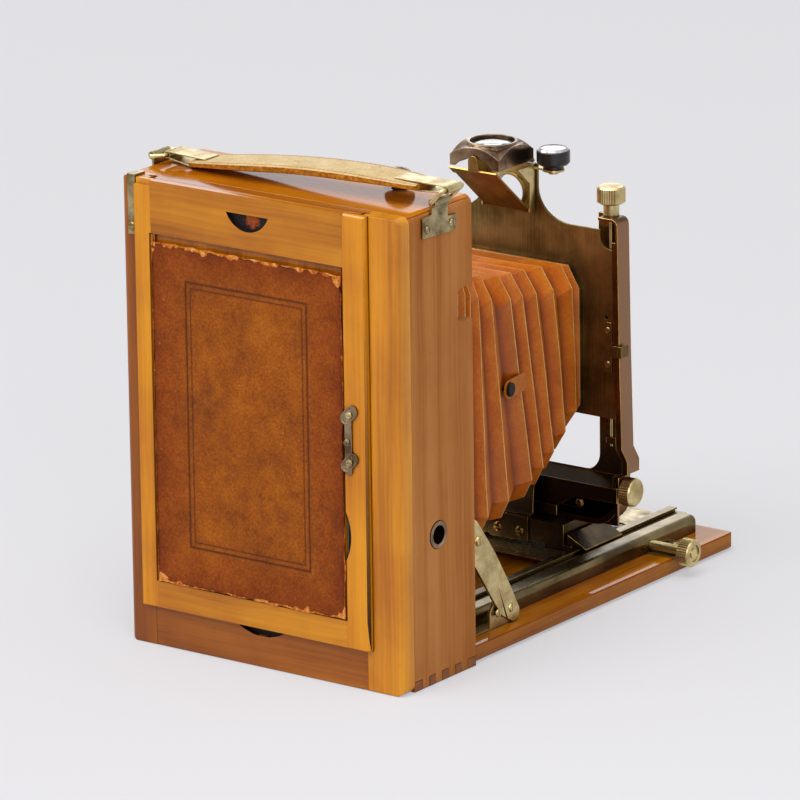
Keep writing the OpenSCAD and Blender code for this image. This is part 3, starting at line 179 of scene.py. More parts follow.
def seen_rays(tree):
    """1 for rays of the camera, of gloss and through glass, and 0 for falling light."""
    path = add(tree, "LightPath")
    mirrored = add(tree, "Math", {0: path.outputs["Is Glossy Ray"],
                                  1: path.outputs["Is Transmission Ray"]}, operation="MAXIMUM")
    return add(tree, "Math", {0: mirrored, 1: path.outputs["Is Camera Ray"]},
               operation="MAXIMUM").outputs[0]


# %% Lay the floor
FLOOR_SIZE, FLOOR_DROP, GLOW_SHARE = 24, 0.0002, 0.45
bpy.ops.object.select_all(action="DESELECT")
bpy.ops.mesh.primitive_plane_add(size=FLOOR_SIZE, location=(0, 0, -FLOOR_DROP))
floor = bpy.context.object
floor.name = "floor"
bpy.ops.object.transform_apply(location=True, rotation=True, scale=True)
paper = bpy.data.materials.new("pale_paper")
paper.use_nodes = True
tree = paper.node_tree
tree.nodes.clear()
matt = add(tree, "BsdfDiffuse", {"Color": colour("#CCCBCE")})
glow = add(tree, "Emission", {"Color": colour("#F6F5F8"), "Strength": 1.0})
seen = add(tree, "Math", {0: seen_rays(tree), 1: GLOW_SHARE}, operation="MULTIPLY")
both = add(tree, "MixShader", {0: seen, 1: matt, 2: glow})
add(tree, "OutputMaterial", {"Surface": both})
floor.data.materials.append(paper)
print("floor", FLOOR_SIZE, "m wide")

# %% Light the sky
SKY_LIGHT, SKY_SEEN = 0.3, 0.85
sky = bpy.data.worlds.new("sky")
bpy.context.scene.world = sky
sky.use_nodes = True
sky_tree = sky.node_tree
level = add(sky_tree, "MapRange", {0: seen_rays(sky_tree), 3: SKY_LIGHT, 4: SKY_SEEN})
feed(sky_tree, sky_tree.nodes["Background"], {"Color": colour("#F2F4F8"), "Strength": level})
print("sky lights at", SKY_LIGHT, "and shows at", SKY_SEEN)

# %% [markdown]
# ## Lamps and white cards
# Soft boxes above and beside the object draw the pale streaks on varnish and
# brass. A white card does what it does in a product studio: it throws almost
# no light, and only shows as a clean reflection. Here it is a lamp that
# doesn't shine on matt surfaces, so its brightness can be set on its own.

# %% Hang the lamps


def lamp(name, kind, place, target, energy, size):
    """A sun's size is its angle in degrees, and a soft box has a width and a height."""
    data = bpy.data.lights.new(name, kind)
    data.energy = energy
    if kind == "SUN":
        data.angle = math.radians(size)
    else:
        data.shape = "RECTANGLE"
        data.size, data.size_y = size
    made = bpy.data.objects.new(name, data)
    bpy.context.scene.collection.objects.link(made)
    made.location = place
    made.rotation_euler = (Vector(place) - Vector(target)).to_track_quat("Z", "Y").to_euler()
    made.visible_camera = False
    return made


def reflector(name, place, target, brightness, size):
    """A white card that only shows in gloss, as bright all over as brightness says."""
    made = lamp(name, "AREA", place, target, brightness * math.pi * size[0] * size[1], size)
    made.visible_diffuse = False


lamp("sun_left", "SUN", (0.5, 2.2, 2.8), (0, 0, 0), 1.15, 35)
lamp("sun_top", "SUN", (-0.5, 0.3, 3), (0, 0, 0), 1.15, 60)
lamp("soft_box_top", "AREA", (0.1, 0.25, 1.5), (0, 0, 0.1), 3.5, (1.6, 0.7))
lamp("soft_box_left", "AREA", (1.5, 1.3, 0.9), (0, 0, 0.1), 6, (0.5, 1.2))
lamp("soft_box_right", "AREA", (-0.75, 0.65, 0.55), (-0.05, 0, 0.1), 3.2, (0.4, 0.6))
reflector("card_far", (1.75, -2.35, 0.95), (0, 0, 0.1), 1.6, (2.4, 0.9))
reflector("card_above", (0.95, 0.3, 1.3), (0, 0, 0.1), 8.0, (1.1, 0.6))

bpy.context.scene.view_settings.view_transform = "Standard"
print("lamps", [light.name for light in bpy.data.lights])

# %% [markdown]
# ## Varnished teak
# The body is teak under many coats of shellac, planed smooth. Under the clear
# coat the grain runs as fine stripes with a few wider bands and short dark
# pores, and the varnish has yellowed unevenly. One recipe makes every board:
# what changes is the direction of the grain and the tone. Stretched noise is
# used rather than a wave texture, because its stripes never repeat. Real pores
# are 0.2 mm wide. Here they are 0.7 mm, the finest that shows at this size.

# %% Two ways to mix colours, and painted shade in the corners
# A Mix node takes its amount at 0 and its colours at 6 and 7, and gives a colour at 2.
OVER = {"data_type": "RGBA"}
DARKEN = {"data_type": "RGBA", "blend_type": "MULTIPLY"}


def crevices(tree, reach, shade):
    """White on open surfaces and shade where another surface is within reach."""
    near = add(tree, "AmbientOcclusion", {"Distance": reach}, samples=5)
    return add(tree, "ValToRGB", {0: near.outputs["AO"]}, stops=[(0.3, shade), (0.78, "#FFFFFF")])


# %% Wood recipe


def teak(name, along, tones, gloss=0.12, coat=0.75, seed=0.0, stain=0.4, marks=0.18):
    """A board's finish: along is the axis of its grain, tones run dark to light."""
    made, tree, shader, coords = new_material(name)
    shift = add(tree, "Mapping", {"Vector": coords, "Location": (seed, seed * 1.7, seed * 0.6)})
    # Width across the grain and length along it, in metres, of stripe, band and pore.
    fine, band, pore = [1 / 0.0014] * 3, [1 / 0.012] * 3, [1 / 0.0007] * 3
    fine[along], band[along], pore[along] = 1 / 0.09, 1 / 0.2, 1 / 0.0035
    waves = add(tree, "TexNoise", {"Vector": shift, "Scale": 24.0, "Detail": 1.0})
    bent = add(tree, "Mix", {0: 0.0025, 6: shift, 7: waves.outputs["Color"]},
               data_type="RGBA", blend_type="ADD").outputs[2]
    noises = []
    for scale, source, detail in ((fine, bent, 2.0), (band, bent, 1.0),
                                  (pore, shift.outputs[0], 0.0)):
        at = add(tree, "Mapping", {"Vector": source, "Scale": scale})
        noises.append(add(tree, "TexNoise", {"Vector": at, "Scale": 1.0,
                                             "Detail": detail}).outputs[0])
    cloud = add(tree, "TexNoise", {"Vector": shift, "Scale": 18.0, "Detail": 4.0,
                                   "Roughness": 0.6})
    mix = add(tree, "Math", {0: noises[0], 1: 0.35}, operation="MULTIPLY")
    mix = add(tree, "Math", {0: noises[1], 1: 0.65, 2: mix}, operation="MULTIPLY_ADD")
    ramp = add(tree, "ValToRGB", {0: mix},
               stops=[(0.34, tones[0]), (0.5, tones[1]), (0.66, tones[2])])
    aged = add(tree, "ValToRGB", {0: cloud}, stops=[(0.32, "#BE8E62"), (0.56, "#FFFFFF")])
    body = add(tree, "Mix", {0: stain, 6: ramp, 7: aged}, **DARKEN).outputs[2]
    spots = add(tree, "ValToRGB", {0: noises[2]}, stops=[(0.78, 0.0), (0.86, marks)])
    body = add(tree, "Mix", {0: spots, 6: body, 7: colour("#5E2E0C")}, **OVER).outputs[2]
    # Painted shade: the board darkens where another surface is near.
    crevice_shade = crevices(tree, 0.0016, "#351608")
    body = add(tree, "Mix", {0: 0.9, 6: body, 7: crevice_shade}, **DARKEN).outputs[2]
    dull = add(tree, "MapRange", {0: cloud, 3: 0.4, 4: 0.55})
    bump = add(tree, "Bump", {"Strength": 0.1, "Distance": 0.0002, "Height": mix})
    # All the shine is in the coat. The wood under it has none of its own.
    feed(tree, shader, {"Base Color": body, "Roughness": dull, "Specular IOR Level": 0.0,
                        "Coat Weight": coat, "Coat Roughness": gloss, "Normal": bump})
    return made


# %% Boards
X, Y, Z = 0, 1, 2
BROWN = ("#844404", "#A05806", "#B86E0C")
# The stiles have the clearest shellac, so they look golden.
wood_up = teak("teak_upright", Z, ("#AE6608", "#CC8010", "#E09418"), seed=0.3)
wood_frame = teak("teak_frame_stile", Z, ("#AE6404", "#CC7E06", "#E0940E"), seed=1.3)
wood_frame_across = teak("teak_frame_rail", X, ("#9A5604", "#BC7406", "#D2880A"), seed=3.7)
# The rails and the bottom board are browner, and the same tones give the stiles a copy in painted
# shade.
wood_across = teak("teak_across", X, BROWN, seed=2.1)
wood_in_painted_shade = teak("teak_stile_in_painted_shade", Z, BROWN, seed=0.9)
# The side has lost its gloss and looks rosy and dull.
wood_side = teak("teak_side", Z, ("#A05E28", "#B4743A", "#C08046"), gloss=0.25, coat=0.15,
                 seed=4.4, stain=0.25)
# Top and bed lie flat. Their polish mirrors the room, and their long edges look red.
wood_top = teak("teak_top", X, ("#9A5206", "#BC700C", "#D08418"), gloss=0.08, coat=0.5, seed=5.2)
wood_bed = teak("teak_bed", Y, ("#8A4A04", "#A86408", "#BC780E"), gloss=0.03, coat=0.5, seed=6.6,
                marks=0.0)
bed_edge = teak("teak_bed_edge", Y, ("#6E2A0A", "#8C4010", "#A0561E"), gloss=0.2, coat=0.2,
                seed=7.9)
# The button is turned rosewood, nearly black with a hard shine.
wood_button = teak("rosewood", X, ("#2E1408", "#5A2A12", "#7A4018"), coat=1.0, seed=8.8)
print("boards", [m.name for m in bpy.data.materials if m.name.startswith("teak")])

# %% [markdown]
# ## Lacquered brass
# The front is sheet brass, blackened and lacquered. A century of hands has
# turned it olive brown, with cloudy patches, long fine scratches and bare gold
# edges. The small fittings were only lacquered, so they are paler. All are the
# same recipe: two tones of metal mixed by slow noise, and roughness that varies.
# Real scratches are finer than a pixel, and 0.6 mm is the finest that shows.

# %% Metal recipe


def metal_parts(name, dark, light, rough=(0.28, 0.5), patch=0.012, brushed=None, metallic=1.0,
                bump=0.1, grime="#1C1208"):
    """patch is the size of its clouds in metres, brushed the axis of its scratches."""
    made, tree, shader, coords = new_material(name)
    cloud = add(tree, "TexNoise", {"Vector": coords, "Scale": 1 / patch, "Detail": 5.0,
                                   "Roughness": 0.6})
    scale = [1 / 0.0006] * 3
    if brushed is not None:
        scale[brushed] = 1 / 0.02
    drawn = add(tree, "Mapping", {"Vector": coords, "Scale": scale})
    lines = add(tree, "TexNoise", {"Vector": drawn, "Scale": 1.0, "Detail": 2.0})
    amount = add(tree, "Math", {0: lines, 1: 0.25, 2: cloud}, operation="MULTIPLY_ADD")
    ramp = add(tree, "ValToRGB", {0: amount}, stops=[(0.45, dark), (0.8, light)])
    # Painted shade: the metal darkens where another surface is near.
    crevice_shade = crevices(tree, 0.0012, grime)
    metal_with_shade = add(tree, "Mix", {0: 0.85, 6: ramp, 7: crevice_shade}, **DARKEN).outputs[2]
    dull = add(tree, "MapRange", {0: amount, 1: 0.4, 2: 0.85, 3: rough[1], 4: rough[0]})
    relief = add(tree, "Bump", {"Strength": bump, "Distance": 0.0001, "Height": lines})
    feed(tree, shader, {"Base Color": metal_with_shade, "Roughness": dull, "Metallic": metallic,
                        "Normal": relief})
    return made, tree, shader, coords, metal_with_shade


def metal(name, dark, light, **settings):
    """The material alone, where nothing is added to its recipe."""
    return metal_parts(name, dark, light, **settings)[0]


# %% Sheets, castings and small fittings
# The panel's blacking has worn to olive, with scratches from rising and falling.
panel_brass = metal("blackened_brass_panel", "#5E4824", "#9A8250", rough=(0.32, 0.5), patch=0.02,
                    brushed=Z)
# Nobody touches the base, so it is still nearly black.
dark_patina = metal("blackened_brass_deep", "#3A2E1E", "#665238", rough=(0.22, 0.42))
# The rails are polished along their length by the carriage.
rail_brass = metal("olive_brass_rail", "#4A3A22", "#8A7850", rough=(0.18, 0.34), brushed=Y,
                   patch=0.03)
# Worn edges and lacquered fittings show bare metal, gold or straw.
bare_edge = metal("bare_brass_edge", "#8A6426", "#D8AC58", rough=(0.18, 0.32), patch=0.006)
pale_brass = metal("lacquered_brass", "#A08A5A", "#D8C690", rough=(0.25, 0.42), patch=0.008)
# Nickel that has greyed, the mirror's warm back and the browned cast parts.
nickel = metal("nickelled_brass", "#6A5A3C", "#B8A67C", rough=(0.2, 0.42), patch=0.006)
mirror_back = metal("brass_mirror_back", "#7A5A2C", "#A8844A", rough=(0.25, 0.42), patch=0.01)
bronze = metal("browned_brass", "#5E4836", "#A88C70", rough=(0.14, 0.3), patch=0.008)
# Black japan is stoved varnish, no metal to the eye.
# Its painted shade in the crevices is black.
japan = metal("black_japan", "#0C0C0C", "#26231F", rough=(0.25, 0.4), metallic=0.0,
              grime="#000000")
print("metals", len([m for m in bpy.data.materials if "brass" in m.name]))

# %% [markdown]
# ## The standard's own patina
# The U-shaped frame has kept its blacking at the foot and turned a matt brown
# on its flanks. It is one solid, so the recipe's colour is covered by two more,
# one chosen by height and one by which way a face looks.

# %% Lacquer that survived on the standard
DARK_BELOW, WORN_ABOVE = 0.043, 0.06
front_brass, tree, shader, coords, metal_with_shade = metal_parts(
    "blackened_brass_front", "#483018", "#7E5E38", rough=(0.22, 0.42), patch=0.016)
place_z = add(tree, "SeparateXYZ", {0: coords}).outputs["Z"]
facing = add(tree, "SeparateXYZ", {0: add(tree, "TexCoord").outputs["Normal"]}).outputs["X"]
outward = add(tree, "Math", {0: facing}, operation="ABSOLUTE")
flank = add(tree, "MapRange", {0: outward, 1: 0.75, 2: 0.97})
low = add(tree, "MapRange", {0: place_z, 1: DARK_BELOW, 2: WORN_ABOVE, 3: 0.85, 4: 0.0})
patina = add(tree, "Mix", {0: low, 6: metal_with_shade, 7: colour("#32261A")}, **OVER).outputs[2]
patina = add(tree, "Mix", {0: flank, 6: patina, 7: colour("#8E6A4E")}, **OVER).outputs[2]
feed(tree, shader, {"Base Color": patina})
print("blacking kept below", DARK_BELOW, "m")

# %% [markdown]
# ## Leather
# The door is vegetable-tanned cowhide pasted on thin wood, dyed red brown and
# rubbed to orange where hands have been. The bellows is thinner skiver, and the
# strap's grain side has bleached to straw. Blotches of two sizes give the
# mottled look, and a fine bump the grain. Its cells are 0.9 mm across, three
# times the real size, so that they show.

# %% Leather recipe
GRAIN_CELL = 0.0009


def leather(name, tones, blotch=0.012, speck=0.0011, rough=0.55, grain=0.35, gloss=0.1,
            speckle=0.38):
    """blotch and speck are sizes in metres, speckle is how much the small ones show."""
    made, tree, shader, coords = new_material(name)
    big = add(tree, "TexNoise", {"Vector": coords, "Scale": 1 / blotch, "Detail": 6.0,
                                 "Roughness": 0.65})
    small = add(tree, "TexNoise", {"Vector": coords, "Scale": 1 / speck, "Detail": 3.0,
                                   "Roughness": 0.7})
    both = add(tree, "Mix", {0: speckle, 6: big, 7: small}, data_type="RGBA")
    ramp = add(tree, "ValToRGB", {0: both.outputs[2]},
               stops=[(0.3, tones[0]), (0.5, tones[1]), (0.7, tones[2])])
    cells = add(tree, "TexVoronoi", {"Vector": coords, "Scale": 1 / GRAIN_CELL})
    relief = add(tree, "Bump", {"Strength": grain, "Distance": 0.0002, "Height": cells})
    feed(tree, shader, {"Base Color": ramp, "Roughness": rough, "Specular IOR Level": 0.12,
                        "Coat Weight": gloss, "Coat Roughness": 0.4, "Normal": relief})
    return made, tree, shader, ramp


# The bellows' crests are painted pale as a highlight, and the strap's cut sides look fibrous and
# orange.
crest_highlight_hide = leather("bellows_crest_highlight", ("#B87A38", "#DDA866", "#EFCB98"), rough=0.6, grain=0.1)[0]
strap_side = leather("strap_edge", ("#6E3806", "#A9650F", "#D89A3C"), blotch=0.002, rough=0.9,
                     grain=1.0, gloss=0.0)[0]
print("leather grain", GRAIN_CELL * 1000, "mm")

# %% Blacked wood, rubbed bare where the thumb presses; in two notches this black is painted shade
THUMB_SPOT = mm(2, 51, 190.5)
black_and_notch_shade, tree, shader, ramp = leather("black_wood_and_notch_shade", ("#0E0C0B", "#181412", "#2A1C14"),
                                          rough=0.5)
coords = add(tree, "TexCoord").outputs["Object"]
away = add(tree, "VectorMath", {0: coords, 1: THUMB_SPOT}, operation="DISTANCE")
rag = add(tree, "TexNoise", {"Vector": coords, "Scale": 500.0, "Detail": 3.0})
rubbed = add(tree, "Math", {0: rag, 1: 0.006, 2: away.outputs["Value"]}, operation="MULTIPLY_ADD")
rubbed = add(tree, "MapRange", {0: rubbed, 1: 0.0052, 2: 0.0072, 3: 0.9, 4: 0.0})
spotted = add(tree, "Mix", {0: rubbed, 6: ramp, 7: colour("#A84C1A")}, **OVER).outputs[2]
feed(tree, shader, {"Base Color": spotted})
print("rubbed spot at", [round(v, 3) for v in THUMB_SPOT])

# %% Bellows skiver, with painted shade in the folds
bellows_hide, tree, shader, ramp = leather(
    "bellows_skiver", ("#984A06", "#B8640E", "#D08428"), blotch=0.02, rough=0.42, grain=0.12,
    gloss=0.22)
# The depth attribute is 1 in the valleys, where painted shade darkens the skiver.
deep = add(tree, "Attribute", attribute_name="depth").outputs["Fac"]
shade = add(tree, "ValToRGB", {0: deep},
            stops=[(0.0, "#FFFFFF"), (0.6, "#EEC8A0"), (1.0, "#8A4818")])
folded = add(tree, "Mix", {0: 0.75, 6: ramp, 7: shade}, **DARKEN).outputs[2]
# Painted shade where the folds crowd together.
crevice_shade = crevices(tree, 0.003, "#6A2C08")
folded = add(tree, "Mix", {0: 0.8, 6: folded, 7: crevice_shade}, **DARKEN).outputs[2]
feed(tree, shader, {"Base Color": folded})

# %% [markdown]
# ## Glass and mirror
# Glass is a thin clear body, the focusing screen is ground on one face, and the
# finder's mirror is silvered under its brass back.

# %% Glass recipe


def glass(name, tint, rough, through=1.0):
    made, tree, shader, coords = new_material(name)
    haze = add(tree, "TexNoise", {"Vector": coords, "Scale": 300.0, "Detail": 2.0})
    dull = add(tree, "MapRange", {0: haze, 3: rough, 4: rough + 0.04})
    feed(tree, shader, {"Base Color": colour(tint), "Transmission Weight": through,
                        "Roughness": dull})
    return made


# The lens is nearly colourless, and the ground side of the screen looks milky.
lens_clear = glass("optical_glass", "#E8F4F0", 0.0)
screen_glass = glass("ground_glass", "#C8D2CE", 0.55, 0.6)

# %% [markdown]
# ## Dressing a solid
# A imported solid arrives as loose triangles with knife-sharp edges, and real
# edges are worn round. So a copy is merged, its flat faces are cleaned of
# needless edges, and a bevel rounds every corner. The bevel's faces can take a
# second finish, which is how the bare gold edges of worn brass are made. A big
# flat face beside small bevels can shade like a cushion, so it is cut into
# triangles and its normals are weighted by area.

# %% Bevelled copy of a solid


def only(piece):
    """Select this piece and nothing else."""
    bpy.ops.object.select_all(action="DESELECT")
    piece.select_set(True)
    bpy.context.view_layer.objects.active = piece


def copy_of(node, name):
    """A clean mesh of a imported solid, without its finish."""
    made = bpy.data.objects.new(name, nodes[node].data.copy())
    bpy.context.scene.collection.objects.link(made)
    made.data.materials.clear()
    only(made)
    bpy.ops.object.mode_set(mode="EDIT")
    bpy.ops.mesh.select_all(action="SELECT")
    bpy.ops.mesh.remove_doubles(threshold=2e-6)
    bpy.ops.mesh.dissolve_limited(angle_limit=math.radians(0.5))
    bpy.ops.object.mode_set(mode="OBJECT")
    return made


def round_edges(piece, width, edge_slot=-1):
    """Bevel every sharp edge by width in millimetres, in the finish of edge_slot."""
    only(piece)
    bpy.ops.object.modifier_add(type="BEVEL")
    bevel = piece.modifiers[-1]
    bevel.width = width / 1000
    bevel.segments = 2
    bevel.limit_method = "ANGLE"
    bevel.angle_limit = math.radians(35)
    bevel.use_clamp_overlap = False
    bevel.harden_normals = False
    bevel.material = edge_slot
    bpy.ops.object.modifier_apply(modifier=bevel.name)
    bpy.ops.object.mode_set(mode="EDIT")
    bpy.ops.mesh.select_all(action="SELECT")
    bpy.ops.mesh.quads_convert_to_tris(quad_method="BEAUTY", ngon_method="BEAUTY")
    bpy.ops.object.mode_set(mode="OBJECT")
    bpy.ops.object.shade_smooth_by_angle(angle=math.radians(38))
    bpy.ops.object.modifier_add(type="WEIGHTED_NORMAL")
    piece.modifiers[-1].keep_sharp = True
    bpy.ops.object.modifier_apply(modifier=piece.modifiers[-1].name)


def seat(piece, node):
    """The piece rides on its node's body and stands for that node."""
    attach(piece, body_of[node])
    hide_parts(node)


def dress(node, finish, width, edge=None):
    """A rounded copy that takes the solid's place, with its own finish on the edges."""
    made = copy_of(node, node + "_dressed")
    made.data.materials.append(finish)
    if edge is not None:
        made.data.materials.append(edge)
    round_edges(made, width, 1 if edge is not None else -1)
    seat(made, node)
    return made


def paint(node, finish):
    """The solid stays as it is, because it is round already or hardly seen."""
    piece = nodes[node]
    piece.data.materials.clear()
    piece.data.materials.append(finish)


# %% Dress the boards and the brass
# Node, finish, width of the bevel in millimetres and the finish of its edges.
for name, finish, width, edge in (
        ("side_left", wood_side, 0.5, None),
        ("side_right", wood_side, 0.5, None),
        ("top_board", wood_top, 0.35, None),
        ("bottom_board", wood_across, 0.35, None),
        ("bed", wood_bed, 0.5, bed_edge),
        ("bed_release_button", wood_button, 0.3, None),
        ("front_frame", front_brass, 0.2, bare_edge),
        ("rising_panel", panel_brass, 0.12, None),
        ("outer_rails", rail_brass, 0.2, bare_edge),
        ("focus_rails", rail_brass, 0.12, bare_edge),
        ("focus_plate", nickel, 0.1, bare_edge),
        ("base_block", dark_patina, 0.2, bare_edge),
        ("cross_block", dark_patina, 0.2, bare_edge),
        ("grip_left", dark_patina, 0.15, bare_edge),
        ("grip_right", dark_patina, 0.15, bare_edge),
        ("bed_struts", pale_brass, 0.12, bare_edge),
        ("strut_brackets", pale_brass, 0.12, bare_edge),
        ("panel_clips", panel_brass, 0.1, bare_edge),
        ("tail_bracket", dark_patina, 0.15, bare_edge),
        ("handle_plates", nickel, 0.1, bare_edge),
        ("handle_ferrules", pale_brass, 0.1, None),
        ("back_spring_catch", nickel, 0.1, bare_edge),
        ("door_catch", bronze, 0.15, nickel),
        ("finder_mirror", mirror_back, 0.1, bare_edge),
        ("finder_lid", bronze, 0.2, None),
        ("case_screws", nickel, 0.06, None)):
    dress(name, finish, width, edge)
stiles = dress("rear_stiles", wood_up, 0.12)

# %% Paint what is turned or hidden
for name in ("shaft_bearing", "focus_shaft", "focus_knob", "cross_screw", "rise_screw",
             "rise_nut", "panel_screws", "back_fasteners", "bed_hinge", "handle_loops",
             "back_runners", "focus_racks", "lens_barrel", "release_lever", "iris_lever"):
    paint(name, pale_brass)
for name in ("lens_board", "shutter_case", "bellows_rear_frame"):
    paint(name, japan)
for name, finish in (("bellows_front_frame", panel_brass), ("tripod_bush", bronze),
                     ("finder_lens", lens_clear), ("lens_glass", lens_clear),
                     ("ground_glass", screen_glass)):
    paint(name, finish)
print("glass", [o.name for o in nodes.values() if "glass" in o.name])

# %% [markdown]
# ## Two finishes on one solid
# The stiles, the rails and the level are single solids with a second finish in
# one place: one stile is browner, a painted shade, the finger notches are
# blacked, and in two of them that black is painted shade, and the level has a
# grey glass on top. Cutting them apart would leave seams that the real ones
# don't have, so faces are picked by where their middle lies, in millimetres,
# and get a second material slot.

# %% Paint the faces in a box


def paint_inside(piece, low, high, finish):
    """Give the faces whose middle lies between two corners another finish."""
    low, high = mm(*low), mm(*high)
    piece.data.materials.append(finish)
    slot = len(piece.data.materials) - 1
    count = 0
    for face in piece.data.polygons:
        if all(low[k] <= face.center[k] <= high[k] for k in range(3)):
            face.material_index = slot
            count += 1
    print(piece.name, count, "faces", finish.name)


# The left stile takes the copy in painted shade.
paint_inside(stiles, (50, 40, -1), (75, 60, 205), wood_in_painted_shade)
rails = dress("rear_rails", wood_across, 0.3)
# The notch in the lower rail is painted black as shade.
paint_inside(rails, (-12, 48.4, 13.4), (15, 50.92, 27), black_and_notch_shade)
level_glass = metal("level_glass", "#8E868C", "#C8C0C6", rough=(0.1, 0.2), patch=0.004,
                    metallic=0.6)
level_low, level_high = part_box("spirit_level")
level = dress("spirit_level", japan, 0.15)
top_of_level = level_high.z * 1000
paint_inside(level, (level_low.x * 1000, -200, top_of_level - 0.75),
             (level_high.x * 1000, 0, top_of_level - 0.2), level_glass)

# %% [markdown]
# ## The finder's plate
# Seen from behind, the plate that carries the mirror ends at the mirror's foot.
# The solid runs on down for strength, so the copy is cut there. Bisect cuts
# along a plane, throws one side away and closes the cut in one step.

# %% Plate behind the finder's mirror


def keep_inside(piece, point, normal):
    """Cut a piece along a plane and throw away the side that the normal points to."""
    only(piece)
    bpy.ops.object.mode_set(mode="EDIT")
    bpy.ops.mesh.select_all(action="SELECT")
    bpy.ops.mesh.bisect(plane_co=point, plane_no=normal, use_fill=True, clear_outer=True)
    bpy.ops.object.mode_set(mode="OBJECT")


plate = copy_of("finder_plate", "finder_plate_dressed")
foot_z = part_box("finder_mirror")[0].z + 0.0006
keep_inside(plate, (0, 0, foot_z), (0, 0, -1))
plate.data.materials.append(pale_brass)
plate.data.materials.append(bare_edge)
round_edges(plate, 0.1, 1)
seat(plate, "finder_plate")
print("plate ends at", round(foot_z, 4))

# %% [markdown]
# ## The sliding back's frame
# A frame is joined from four strips: two upright stiles that run the whole
# height, and two rails between them. The solid is one ring, so it is cut along
# the joints and each strip gets its own grain direction. A fine bevel on the
# stiles draws the joint lines, and a wide one rounds the outer edges, where
# the back is gripped to slide it.

# %% Round the frame's outer edges
door_low, door_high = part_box("door")
frame_low, frame_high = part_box("back_frame")


def round_outside(piece):
    """Hands have rounded the frame's outer edges far more than its joints."""
    only(piece)
    bpy.ops.object.mode_set(mode="EDIT")
    sheet = bmesh.from_edit_mesh(piece.data)
    for edge in sheet.edges:
        a, b = edge.verts[0].co, edge.verts[1].co
        at_back = min(a.y, b.y) > frame_high.y - 1e-5
        on_top = min(a.z, b.z) > frame_high.z - 1e-5
        on_side = min(abs(a.x - x) + abs(b.x - x) for x in (frame_low.x, frame_high.x)) < 2e-5
        edge.select_set(at_back and (on_top or on_side))
    bmesh.update_edit_mesh(piece.data)
    bpy.ops.mesh.bevel(offset=0.0014, segments=5, affect="EDGES")
    bpy.ops.object.mode_set(mode="OBJECT")


print("frame", [round(v * 1000, 1) for v in frame_high - frame_low], "mm")

# %% Cut the frame at its joints
DOOR_GAP, STILE = 0.0003, 0.0083
joint_lo = door_low.x - DOOR_GAP
joint_hi = frame_high.x - STILE
middle = (door_low.z + door_high.z) / 2
between_stiles = [((joint_hi, 0, 0), (1, 0, 0)), ((joint_lo, 0, 0), (-1, 0, 0))]
strips = {
    "back_stile_left": [((joint_hi, 0, 0), (-1, 0, 0))],
    "back_stile_right": [((joint_lo, 0, 0), (1, 0, 0))],
    "back_rail_top": between_stiles + [((0, 0, middle), (0, 0, -1))],
    "back_rail_bottom": between_stiles + [((0, 0, middle), (0, 0, 1))],
}
for name, cuts in strips.items():
    strip = copy_of("back_frame", name)
    for point, normal in cuts:
        keep_inside(strip, point, normal)
    strip.data.materials.append(wood_frame if "stile" in name else wood_frame_across)
    round_outside(strip)
    if "stile" in name:
        round_edges(strip, 0.1)
    face_y = frame_high.y * 1000 + FRONT
    if name == "back_rail_top":
        paint_inside(strip, (-8, face_y - 2.1, 184.5), (18, face_y - 0.05, 192.6), black_and_notch_shade)
    if name == "back_stile_right":
        # The notch beside the door is painted black as shade.
        paint_inside(strip, (-60, face_y - 1.9, 40), (-44.3, face_y - 0.05, 92), black_and_notch_shade)
    seat(strip, "back_frame")

# %% [markdown]
# ## The leather door
# The door is a thin board with hide pasted on. A bookbinder's wheel has pressed
# two lines all round it. The sheet starts as one face: it is inset to the tooled
# lines, each line is a pair of insets with the face between them pushed in and
# out again. The leather has shrunk back from the top, so that edge is then
# lowered, and everything is subdivided so that the torn edge and the slight
# waves of old leather can be pushed in by noise.

# %% Board under the leather
# The board ends half a millimetre below the door's face, and the hide fills that.
board_top = door_high.y - 0.0005
hide_y = board_top + 0.00045
core = copy_of("door", "door_board")
keep_inside(core, (0, board_top, 0), (0, 1, 0))
# The board takes the stile finish in painted shade.
core.data.materials.append(wood_in_painted_shade)
round_edges(core, 0.15)
seat(core, "door")
print("board", [round(v * 1000, 1) for v in core.dimensions], "mm")

# %% Tool the hide
# Each step is an inset and how far the middle then moves, in metres and in millimetres.
TOOLING = ((0.017, 0), (0.0005, -0.12), (0.0003, 0), (0.0005, 0.12), (0.0012, 0),
           (0.0004, -0.08), (0.0001, 0), (0.0004, 0.08))
SHRUNK = 0.0028
width = door_high.x - door_low.x
height = door_high.z - door_low.z
bpy.ops.object.select_all(action="DESELECT")
bpy.ops.mesh.primitive_plane_add(size=1, rotation=(-math.pi / 2, 0, 0))
hide = bpy.context.object
hide.name = "door_hide"
hide.scale = (width, height, 1)
hide.location = ((door_low.x + door_high.x) / 2, hide_y, middle)
bpy.ops.object.transform_apply(location=True, rotation=True, scale=True)
bpy.ops.object.mode_set(mode="EDIT")
bpy.ops.mesh.select_all(action="SELECT")
for step, depth in TOOLING:
    bpy.ops.mesh.inset(thickness=step, depth=0)
    bpy.ops.transform.translate(value=(0, depth / 1000, 0))
bpy.ops.object.mode_set(mode="OBJECT")
for vertex in hide.data.vertices:
    if vertex.co.z > door_high.z - 1e-5:
        vertex.co.z -= SHRUNK
bpy.ops.object.mode_set(mode="EDIT")
bpy.ops.mesh.select_all(action="SELECT")
bpy.ops.mesh.subdivide(number_cuts=31)
bpy.ops.object.mode_set(mode="OBJECT")
print("hide", len(hide.data.vertices), "points")

